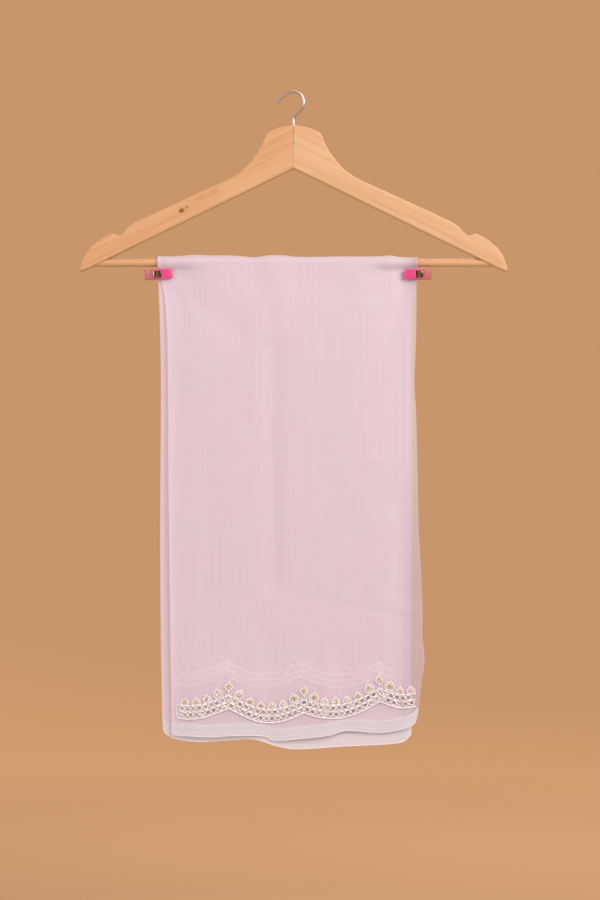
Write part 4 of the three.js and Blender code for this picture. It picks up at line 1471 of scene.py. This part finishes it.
# %% Sew the borders on
GHOST_SHIFT, GHOST_SUNK = -4.0, -0.4
SEWN_LIFT = 0.12
front = Cloth(outer_panel, -1, BORDER_BASE, SEWN_LIFT, 0.0, -120.0, 126.8)
back = Cloth(outer_panel, 1, BORDER_BASE, SEWN_LIFT, 0.0, -120.0, 121.5)
inside = Cloth(second_panel, -1, CORE_END, GHOST_SUNK, GHOST_SHIFT, -122.0, 112.0)
front_border = make_border("border_front", front, 11, outside, "border_front")
back_border = make_border("border_back", back, 12, outside, "border_back")
inner_border = make_border("border_inner", inside, 13, hidden)


# %% [markdown]
# The hanger is two flat boards glued at the middle. Each was sawn to its outline, and its edges
# were rounded with a small router bit. A filled curve with a bevel does just that: the outline
# is drawn once for the right half and mirrored, and the curve's own bevel rounds the edges.
# The socket for the bar and the hole for the hook are then bored out with a boolean.

# %% Hanger outline
ARM_THICKNESS, ARM_ROUND = 12.0, 2.0
APEX_Z, HEAD_TOP_Z = -78.7, -33.5
UNDERSIDE_FALL, UNDERSIDE_END_X = 0.4877, 215.2
BAR_END_X = 212.5
STEM_BOTTOM_Z, WIRE_RADIUS = -53.0, 1.4
HEAD = [(0, HEAD_TOP_Z), (4.8, -34.2), (12.0, -35.6), (18.6, -37.6), (24.6, -40.0)]
NECK = [(28.9, -43.3), (33.2, -53.6), (39.2, -63.9), (49.6, -76.8), (61.6, -86.4), (78.8, -94.9)]
NOTCH = [(165.5, -134.7), (172.6, -140.1), (178.0, -146.3), (182.1, -148.3), (186.4, -147.0)]
NOSE = [(188.6, -146.4), (198.2, -150.5), (210.2, -159.7), (218.0, -170.2), (222.5, -182.9)]
TIP = [(221.9, -185.0), (219.9, -185.5)]
SPLIT = 0.15
WELD = 0.002
ROUND_STEPS = 3
DRILL_SIDES = 40


def rounded(rows, steps):
    """Points on a smooth curve through the rows of a table."""
    out = []
    last = len(rows) - 1
    for k in range(last):
        before, here = Vector(rows[max(k - 1, 0)]), Vector(rows[k])
        there, after = Vector(rows[k + 1]), Vector(rows[min(k + 2, last)])
        for step in range(steps):
            t = step / steps
            bent = (2 * before - 5 * here + 4 * there - after) * t * t
            bent += (3 * here - before - 3 * there + after) * t ** 3
            out.append(here + 0.5 * ((there - before) * t + bent))
    out.append(Vector(rows[last]))
    return out


def half_outline():
    sawn = rounded(HEAD, 5) + rounded(NECK, 6) + rounded(NOTCH, 6) + rounded(NOSE, 7)
    end = Vector((UNDERSIDE_END_X, APEX_Z - UNDERSIDE_FALL * UNDERSIDE_END_X))
    return sawn + [Vector(p) for p in TIP] + [end]


# %% Board and drill
def finished_mesh(piece):
    """The mesh of an object with its bevel or its cuts worked in."""
    graph = bpy.context.evaluated_depsgraph_get()
    return bpy.data.meshes.new_from_object(piece.evaluated_get(graph))


def make_board():
    right = half_outline()
    left = [Vector((-p.x, p.y)) for p in right[1:]]
    outline = right + [Vector((0, APEX_Z))] + left[::-1]
    drawing = bpy.data.curves.new("board", "CURVE")
    drawing.dimensions = "2D"
    drawing.fill_mode = "BOTH"
    line = drawing.splines.new("POLY")
    line.points.add(len(outline) - 1)
    for point, p in zip(line.points, outline):
        point.co = (p.x * MM, p.y * MM, 0, 1)
    line.use_cyclic_u = True
    drawing.extrude = (ARM_THICKNESS / 2 - ARM_ROUND) * MM
    drawing.bevel_depth = ARM_ROUND * MM
    drawing.bevel_resolution = ROUND_STEPS
    drawing.offset = -ARM_ROUND * MM
    shape = bpy.data.objects.new("board", drawing)
    bpy.context.scene.collection.objects.link(shape)
    data = finished_mesh(shape)
    bpy.data.objects.remove(shape)
    mesh = bmesh.new()
    mesh.from_mesh(data)
    bmesh.ops.remove_doubles(mesh, verts=mesh.verts, dist=WELD * MM)
    for vert in mesh.verts:
        x, y, z = vert.co
        vert.co = (x, -z, y)
    bmesh.ops.recalc_face_normals(mesh, faces=mesh.faces)
    return mesh


def bored(piece, cutters):
    """Cuts round holes into a piece. Each cutter is (start, end, radius) in millimetres."""
    for start, end, radius in cutters:
        a, b = Vector(start) * MM, Vector(end) * MM
        data = bpy.data.meshes.new("drill")
        mesh = bmesh.new()
        bmesh.ops.create_cone(
            mesh, cap_ends=True, segments=DRILL_SIDES, radius1=radius * MM, radius2=radius * MM,
            depth=(b - a).length,
        )
        mesh.to_mesh(data)
        mesh.free()
        drill = bpy.data.objects.new("drill", data)
        drill.location = (a + b) / 2
        drill.rotation_euler = (b - a).to_track_quat("Z", "X").to_euler()
        bpy.context.scene.collection.objects.link(drill)
        cut = piece.modifiers.new("bore", "BOOLEAN")
        cut.operation = "DIFFERENCE"
        cut.solver = "EXACT"
        cut.object = drill
        bpy.context.view_layer.update()
        result = finished_mesh(piece)
        piece.modifiers.clear()
        piece.data = result
        bpy.data.objects.remove(drill)


print("outline points of half a board", len(half_outline()))


# %% [markdown]
# The arms are pale softwood with a clear varnish. Wood could be photographed and wrapped on,
# but its grain would bend at the corners. Here it is noise that is drawn out along the arm,
# broad for the year rings and fine for the pores, so it runs through the board as real
# grain does. Each knot or stain is a small stretched ball of darker tone at its own place.

# %% Wood finish
GRAIN_ANGLE = math.atan(UNDERSIDE_FALL)
MARK_DEPTH = 60
STREAK_SHARE, FLECK_SHARE = 0.75, 0.5
VARNISH = {"Specular IOR Level": 0.3, "Coat Weight": 0.05, "Coat Roughness": 0.4}

# Tones from the middle outwards
KNOT = [
    (0.0, (0.34, 0.17, 0.09)), (0.42, (0.50, 0.30, 0.18)), (0.72, (0.86, 0.76, 0.68)),
    (1.0, (1, 1, 1)),
]
SMALL_KNOT = [(0.0, (0.62, 0.42, 0.30)), (0.5, (0.80, 0.66, 0.56)), (1.0, (1, 1, 1))]
STAIN = [(0.0, (0.86, 0.73, 0.58)), (0.5, (0.92, 0.85, 0.76)), (1.0, (1, 1, 1))]

# x, z, reach along the grain, reach across it, tones
WOOD_MARKS = [
    (-116.3, -122.6, 4.6, 3.6, KNOT),
    (-110.9, -118.9, 2.8, 2.4, SMALL_KNOT),
    (-95.5, -109.4, 11.0, 2.8, STAIN),
    (-83.0, -103.5, 9.0, 3.0, STAIN),
]


def wood(name, pale, deep, side, marks=()):
    """Straight grain along the arm, fine pores, and knots and stains where they are stated."""
    finish = new_finish(name, VARNISH)
    turn = (0, side * GRAIN_ANGLE, 0)
    broad = noise(finish, (7, 60, 130), 3.0, turn)
    lines = noise(finish, (16, 240, 620), 2.0, turn)
    pores = noise(finish, (60, 900, 2400), 1.0, turn)
    tone = ramp(finish, broad, [(0.32, deep), (0.66, pale)])
    streak = ramp(finish, lines, [(0.28, (0.90, 0.84, 0.78)), (0.60, (1, 1, 1))])
    tone = blend_colours(finish, STREAK_SHARE, tone, streak, "MULTIPLY")
    fleck = ramp(finish, pores, [(0.28, (0.88, 0.82, 0.76)), (0.40, (1, 1, 1))])
    tone = blend_colours(finish, FLECK_SHARE, tone, fleck, "MULTIPLY")
    for x, z, along, across, rings in marks:
        sizes = (along * MM, MARK_DEPTH * MM, across * MM)
        away = placed_from(finish, (x * MM, 0, z * MM), turn, sizes)
        length = node(finish, "ShaderNodeVectorMath", {"operation": "LENGTH"}, {0: away})
        shade = ramp(finish, length.outputs["Value"], rings)
        tone = blend_colours(finish, 1.0, tone, shade, "MULTIPLY")
    feed(finish, "Base Color", tone)
    feed(finish, "Roughness", span(finish, lines, 0.42, 0.58))
    bump(finish, lines, 0.15, 0.08 * MM)
    return finish


print("grain runs at", round(math.degrees(GRAIN_ANGLE), 1), "degrees")


# %% Hanger arms
SOCKET_FROM_X = 150
DRILL_TOP_Z = 5
ARM_CORNER = math.radians(32)
# The left arm's tones are darker and oranger than the right's: painted shade, for the way the light
# falls along its grain
arm_finishes = {
    -1: wood("wood_left_arm", (0.715, 0.38, 0.187), (0.655, 0.32, 0.145), -1, WOOD_MARKS),
    1: wood("wood_right_arm", (0.73, 0.42, 0.225), (0.68, 0.367, 0.185), 1),
}


def make_arm(side, name, replaced):
    mesh = make_board()
    bmesh.ops.bisect_plane(
        mesh,
        geom=mesh.verts[:] + mesh.edges[:] + mesh.faces[:],
        plane_co=(side * SPLIT * MM, 0, 0),
        plane_no=(-side, 0, 0),
        clear_outer=True,
    )
    open_edges = [e for e in mesh.edges if e.is_boundary]
    bmesh.ops.edgeloop_fill(mesh, edges=open_edges)
    bmesh.ops.recalc_face_normals(mesh, faces=mesh.faces)
    data = bpy.data.meshes.new(name)
    mesh.to_mesh(data)
    mesh.free()
    arm = bpy.data.objects.new(name, data)
    bpy.context.scene.collection.objects.link(arm)
    bored(arm, [
        (
            (side * SOCKET_FROM_X, 0, BAR_Z), (side * (BAR_END_X + GAP), 0, BAR_Z),
            BAR_RADIUS + GAP,
        ),
        ((0, 0, DRILL_TOP_Z), (0, 0, STEM_BOTTOM_Z - GAP), WIRE_RADIUS + GAP),
    ])
    arm.data.materials.clear()
    arm.data.materials.append(arm_finishes[side])
    arm.data.shade_smooth()
    arm.data.set_sharp_from_angle(angle=ARM_CORNER)
    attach(arm, "root")
    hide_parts(replaced)
    print(name, "faces", len(arm.data.polygons))


make_arm(-1, "wooden_arm_left", "hanger_arm_left")
make_arm(1, "wooden_arm_right", "hanger_arm_right")


# %% [markdown]
# The bar is a turned dowel. A perfect cylinder looks like plastic, so its thickness wanders from
# ring to ring by a few hundredths of a millimetre, and its ends are eased with a chamfer.
# The hook is one bent wire. It follows the same arc and legs as the frame, with many more
# steps, and its free end is rounded over as it is when a wire is tumbled before plating.

# %% Bar and hook
HOOK_RADIUS = 10.9
HOOK_CENTRE_Z = WIRE_RADIUS - HOOK_RADIUS
HOOK_START, HOOK_END = math.radians(-43), math.radians(128)
HOOK_LEG = 14.3
STEM_BEND_Z, STEM_BEND_REACH = -25.5, 2.4
BAR_SIDES, BAR_RINGS = 40, 84
BAR_UNEVEN = 0.06
CHAMFER_LONG, CHAMFER_DEEP = 0.5, 0.7
WIRE_SIDES = 20
STEM_STEPS, BEND_STEPS, ARC_STEPS = 10, 8, 64
TIP_STEPS, TIP_CLOSES = 6, 6.3


def make_bar():
    draw = random.Random(5)
    rings = [(-BAR_END_X, CHAMFER_DEEP), (-BAR_END_X + CHAMFER_LONG, 0.0)]
    for k in range(1, BAR_RINGS):
        rings.append((mix(-BAR_END_X, BAR_END_X, k / BAR_RINGS), draw.uniform(0.0, BAR_UNEVEN)))
    rings += [(BAR_END_X - CHAMFER_LONG, 0.0), (BAR_END_X, CHAMFER_DEEP)]
    path = [Vector((x, 0, BAR_Z)) for x, _ in rings]
    radii = [BAR_RADIUS - ease for _, ease in rings]
    heap = Heap()
    heap.add(*tube(path, radii, BAR_SIDES, Vector((0, 1, 0))))
    return heap.make("turned_bar", [wood_bar])


def hook_path():
    """Stem, bend, slanted leg, arc and free leg, from the bottom of the stem."""
    def on_arc(angle):
        rise = HOOK_RADIUS * math.sin(angle)
        return Vector((HOOK_RADIUS * math.cos(angle), 0, HOOK_CENTRE_Z + rise))

    start, end = on_arc(HOOK_START), on_arc(HOOK_END)
    bend = Vector((0, 0, STEM_BEND_Z))
    slope = (start - bend).normalized()
    foot, top = bend - Vector((0, 0, STEM_BEND_REACH)), bend + STEM_BEND_REACH * slope
    leg = Vector((-math.sin(HOOK_END), 0, math.cos(HOOK_END)))
    bottom = Vector((0, 0, STEM_BOTTOM_Z))
    path = [mix(bottom, foot, k / STEM_STEPS) for k in range(STEM_STEPS)]
    for k in range(BEND_STEPS):
        t = k / BEND_STEPS
        path.append((1 - t) ** 2 * foot + 2 * t * (1 - t) * bend + t * t * top)
    path += [mix(top, start, k / BEND_STEPS) for k in range(BEND_STEPS)]
    path += [on_arc(mix(HOOK_START, HOOK_END, k / ARC_STEPS)) for k in range(ARC_STEPS + 1)]
    free = leg * (HOOK_LEG - WIRE_RADIUS)
    path += [end + free * k / BEND_STEPS for k in range(1, BEND_STEPS + 1)]
    return path, leg


def make_hook():
    path, leg = hook_path()
    radii = [WIRE_RADIUS] * len(path)
    tip = path[-1]
    for k in range(1, TIP_STEPS + 1):
        angle = math.radians(90) * k / TIP_CLOSES
        path.append(tip + leg * WIRE_RADIUS * math.sin(angle))
        radii.append(WIRE_RADIUS * math.cos(angle))
    heap = Heap()
    heap.add(*tube(path, radii, WIRE_SIDES, Vector((0, 1, 0))))
    return heap.make("bent_wire_hook", [zinc_wire])


wood_bar = wood("wood_bar", (0.715, 0.378, 0.188), (0.63, 0.308, 0.142), 0)
zinc_wire = new_finish("zinc_wire", {"Metallic": 1.0, "Roughness": 0.24})
drawn = noise(zinc_wire, (1800, 1800, 40), 2.0)
feed(zinc_wire, "Base Color", ramp(zinc_wire, drawn, [
    (0.3, (0.50, 0.51, 0.53)), (0.7, (0.74, 0.75, 0.77)),
]))
feed(zinc_wire, "Roughness", span(zinc_wire, drawn, 0.16, 0.34))
for piece, replaced, slot in (
    (make_bar(), "hanger_bar", "dowel"),
    (make_hook(), "hanger_hook", "hook_wire"),
):
    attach(piece, "root")
    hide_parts(replaced)


# %% [markdown]
# Each clip is two moulded jaws and a band of spring steel that is threaded through both. The
# jaws are drawn as a plan, like a long fish, and raised to the clip's height. A bevel rounds
# the plan's edges as a mould does. The plastic is a clear dye, so light goes some way into it.

# %% Clips
CLIP_LENGTH, CLIP_HEIGHT = 28.8, 9.8
INNER_Y, OUTER_Y, NOSE_Y = 4.35, 6.9, 5.6
TAIL_INNER_Y, HEEL_INNER_Y = 4.9, 3.2
SPRING_FROM, SPRING_TO = 8.8, 17.4
SPRING_THICKNESS, SPRING_HEIGHT = 0.8, 6.8
HEEL_AFTER_SPRING = 1.8
BEVEL_FROM, SHARP_FROM = math.radians(24), math.radians(40)
DYE_PALES = (8.0, 12.0)
JAW_BEVEL, BAND_BEVEL = 0.45, 0.3
# Towards is 1 where the nose points to the right, and -1 where it points to the left
Clip = namedtuple("Clip", "hand tail_x towards tail_z tilt")
CLIPS = [Clip("left", -154.8, 1, -189.3, 0.05), Clip("right", 143.4, -1, -188.6, 0.0)]


def raised(outline, height, name, finish, bevel):
    """Raises a plan of (along, y) points to a height, and rounds its edges."""
    mesh = bmesh.new()
    low = [mesh.verts.new((a * MM, y * MM, -height / 2 * MM)) for a, y in outline]
    high = [mesh.verts.new((a * MM, y * MM, height / 2 * MM)) for a, y in outline]
    count = len(outline)
    mesh.faces.new(low)
    mesh.faces.new(high)
    for k in range(count):
        nxt = (k + 1) % count
        mesh.faces.new((low[k], low[nxt], high[nxt], high[k]))
    bmesh.ops.recalc_face_normals(mesh, faces=mesh.faces)
    edges = [e for e in mesh.edges if e.calc_face_angle(0) > BEVEL_FROM]
    bmesh.ops.bevel(
        mesh, geom=edges, offset=bevel * MM, segments=3, profile=0.5, affect="EDGES",
        clamp_overlap=True,
    )
    data = bpy.data.meshes.new(name)
    mesh.to_mesh(data)
    mesh.free()
    data.materials.append(finish)
    data.shade_smooth()
    data.set_sharp_from_angle(angle=SHARP_FROM)
    made = bpy.data.objects.new(name, data)
    bpy.context.scene.collection.objects.link(made)
    return made


def jaw_plan(side):
    heel = SPRING_FROM + HEEL_AFTER_SPRING
    plan = [
        (0, TAIL_INNER_Y), (SPRING_FROM - 3, TAIL_INNER_Y - 0.4), (heel - 1, HEEL_INNER_Y),
        (heel + 1, HEEL_INNER_Y), (heel + 3, INNER_Y), (CLIP_LENGTH - 0.4, INNER_Y),
        (CLIP_LENGTH, INNER_Y + 0.3), (CLIP_LENGTH, NOSE_Y - 0.3), (CLIP_LENGTH - 0.5, NOSE_Y),
        (CLIP_LENGTH - 1.6, NOSE_Y + 0.1), (CLIP_LENGTH - 2.0, NOSE_Y - 0.15),
        (CLIP_LENGTH - 2.4, NOSE_Y + 0.2), (SPRING_TO + 2, OUTER_Y), (SPRING_FROM - 2, OUTER_Y),
        (4.6, OUTER_Y - 0.25), (4.2, OUTER_Y - 0.55), (3.8, OUTER_Y - 0.3), (3.0, OUTER_Y - 0.36),
        (2.6, OUTER_Y - 0.66), (2.2, OUTER_Y - 0.42), (0.4, OUTER_Y - 0.6), (0, OUTER_Y - 0.9),
    ]
    return [(a, side * y) for a, y in plan]


def spring_plan():
    low = OUTER_Y + GAP
    high = low + SPRING_THICKNESS
    inside = SPRING_FROM + SPRING_THICKNESS
    curl = [
        (SPRING_TO, high - 0.25), (SPRING_TO - 1.6, high - 0.04), (SPRING_TO - 4.0, high + 0.05),
        (SPRING_FROM + 1.4, high), (SPRING_FROM + 0.4, high - 0.4), (SPRING_FROM, high - 1.3),
    ]
    inner = [(inside, low - 0.5), (inside + 0.3, low), (SPRING_TO, low)]
    outside = curl + [(a, -y) for a, y in reversed(curl)]
    return outside + [(a, -y) for a, y in reversed(inner)] + inner


# %% [markdown]
# Two finishes make a clip. The dye is deep over the jaws and paler in the tail, so its tone is a
# ramp along the clip. Polished steel shows the room around it as light and dark bands. A plain
# stage has no such room, so a second ramp along the spring gives those bands as painted
# reflections.

# %% Clip finishes
def dyed_plastic(clip):
    """Clear dye: deep pink over the jaws, paler and browner in the tail."""
    dye = new_finish(f"clip_dye_{clip.hand}", {
        "Roughness": 0.26,
        "Transmission Weight": 0.22,
        "Coat Weight": 0.4,
        "IOR": 1.49,
    })
    place = node(dye, "ShaderNodeTexCoord").outputs["Object"]
    across = node(dye, "ShaderNodeSeparateXYZ", None, {0: place}).outputs["X"]
    tail, nose = [(clip.tail_x + clip.towards * reach) * MM for reach in DYE_PALES]
    share = span(dye, across, 0.0, 1.0, tail, nose)
    feed(dye, "Base Color", ramp(dye, share, [
        (0.0, (0.63, 0.15, 0.17)), (1.0, (0.92, 0.062, 0.285)),
    ]))
    feed(dye, "Roughness", span(dye, noise(dye, (300, 300, 300)), 0.24, 0.34))
    bump(dye, noise(dye, (700, 700, 700), 1.0), 0.05, 0.1 * MM)
    return dye


def steel_with_painted_reflections(clip):
    """Spring steel: nearly black, with a painted pale glint at the left and a painted straw
    reflection in the middle.
    """
    steel = new_finish(f"clip_steel_{clip.hand}", {
        "Metallic": 1.0,
        "Roughness": 0.16,
        "Coat Weight": 1.0,
        "Coat Roughness": 0.06,
        "Coat IOR": 1.9,
    })
    place = node(steel, "ShaderNodeTexCoord").outputs["Object"]
    across = node(steel, "ShaderNodeSeparateXYZ", None, {0: place}).outputs["X"]
    middle = (clip.tail_x + clip.towards * (SPRING_FROM + SPRING_TO) / 2) * MM
    reach = (SPRING_TO - SPRING_FROM) / 2 * MM
    share = span(steel, across, 0.0, 1.0, middle - reach, middle + reach)
    # Painted reflections: a pale glint at the left end and a straw band in the middle, black
    # between
    feed(steel, "Base Color", ramp(steel, share, [
        (0.0, (0.62, 0.56, 0.48)), (0.16, (0.03, 0.026, 0.022)), (0.34, (0.09, 0.072, 0.04)),
        (0.55, (0.44, 0.35, 0.18)), (0.72, (0.08, 0.066, 0.04)), (1.0, (0.012, 0.011, 0.01)),
    ]))
    rolled = noise(steel, (260, 260, 420), 2.0)
    feed(steel, "Roughness", span(steel, rolled, 0.1, 0.24))
    return steel


# %% Clips on the cloth
def place_clip(piece, clip):
    turn = -clip.tilt if clip.towards > 0 else math.pi + clip.tilt
    piece.location = (clip.tail_x * MM, 0, clip.tail_z * MM)
    piece.rotation_euler = (0, turn, 0)
    bpy.context.view_layer.update()
    piece.data.transform(piece.matrix_world)
    piece.location = (0, 0, 0)
    piece.rotation_euler = (0, 0, 0)


for clip in CLIPS:
    dye = dyed_plastic(clip)
    for side, which in ((-1, "front"), (1, "back")):
        name = f"clip_{clip.hand}_{which}_moulding"
        jaw = raised(jaw_plan(side), CLIP_HEIGHT, name, dye, JAW_BEVEL)
        place_clip(jaw, clip)
        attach(jaw, "root")
        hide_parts(f"clip_{clip.hand}_{which}_jaw")
    name = f"clip_{clip.hand}_spring_band"
    band = raised(spring_plan(), SPRING_HEIGHT, name, steel_with_painted_reflections(clip), BAND_BEVEL)
    place_clip(band, clip)
    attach(band, "root")
    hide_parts(f"clip_{clip.hand}_spring")
    print(f"clip_{clip.hand}", "jaw faces", len(jaw.data.polygons))
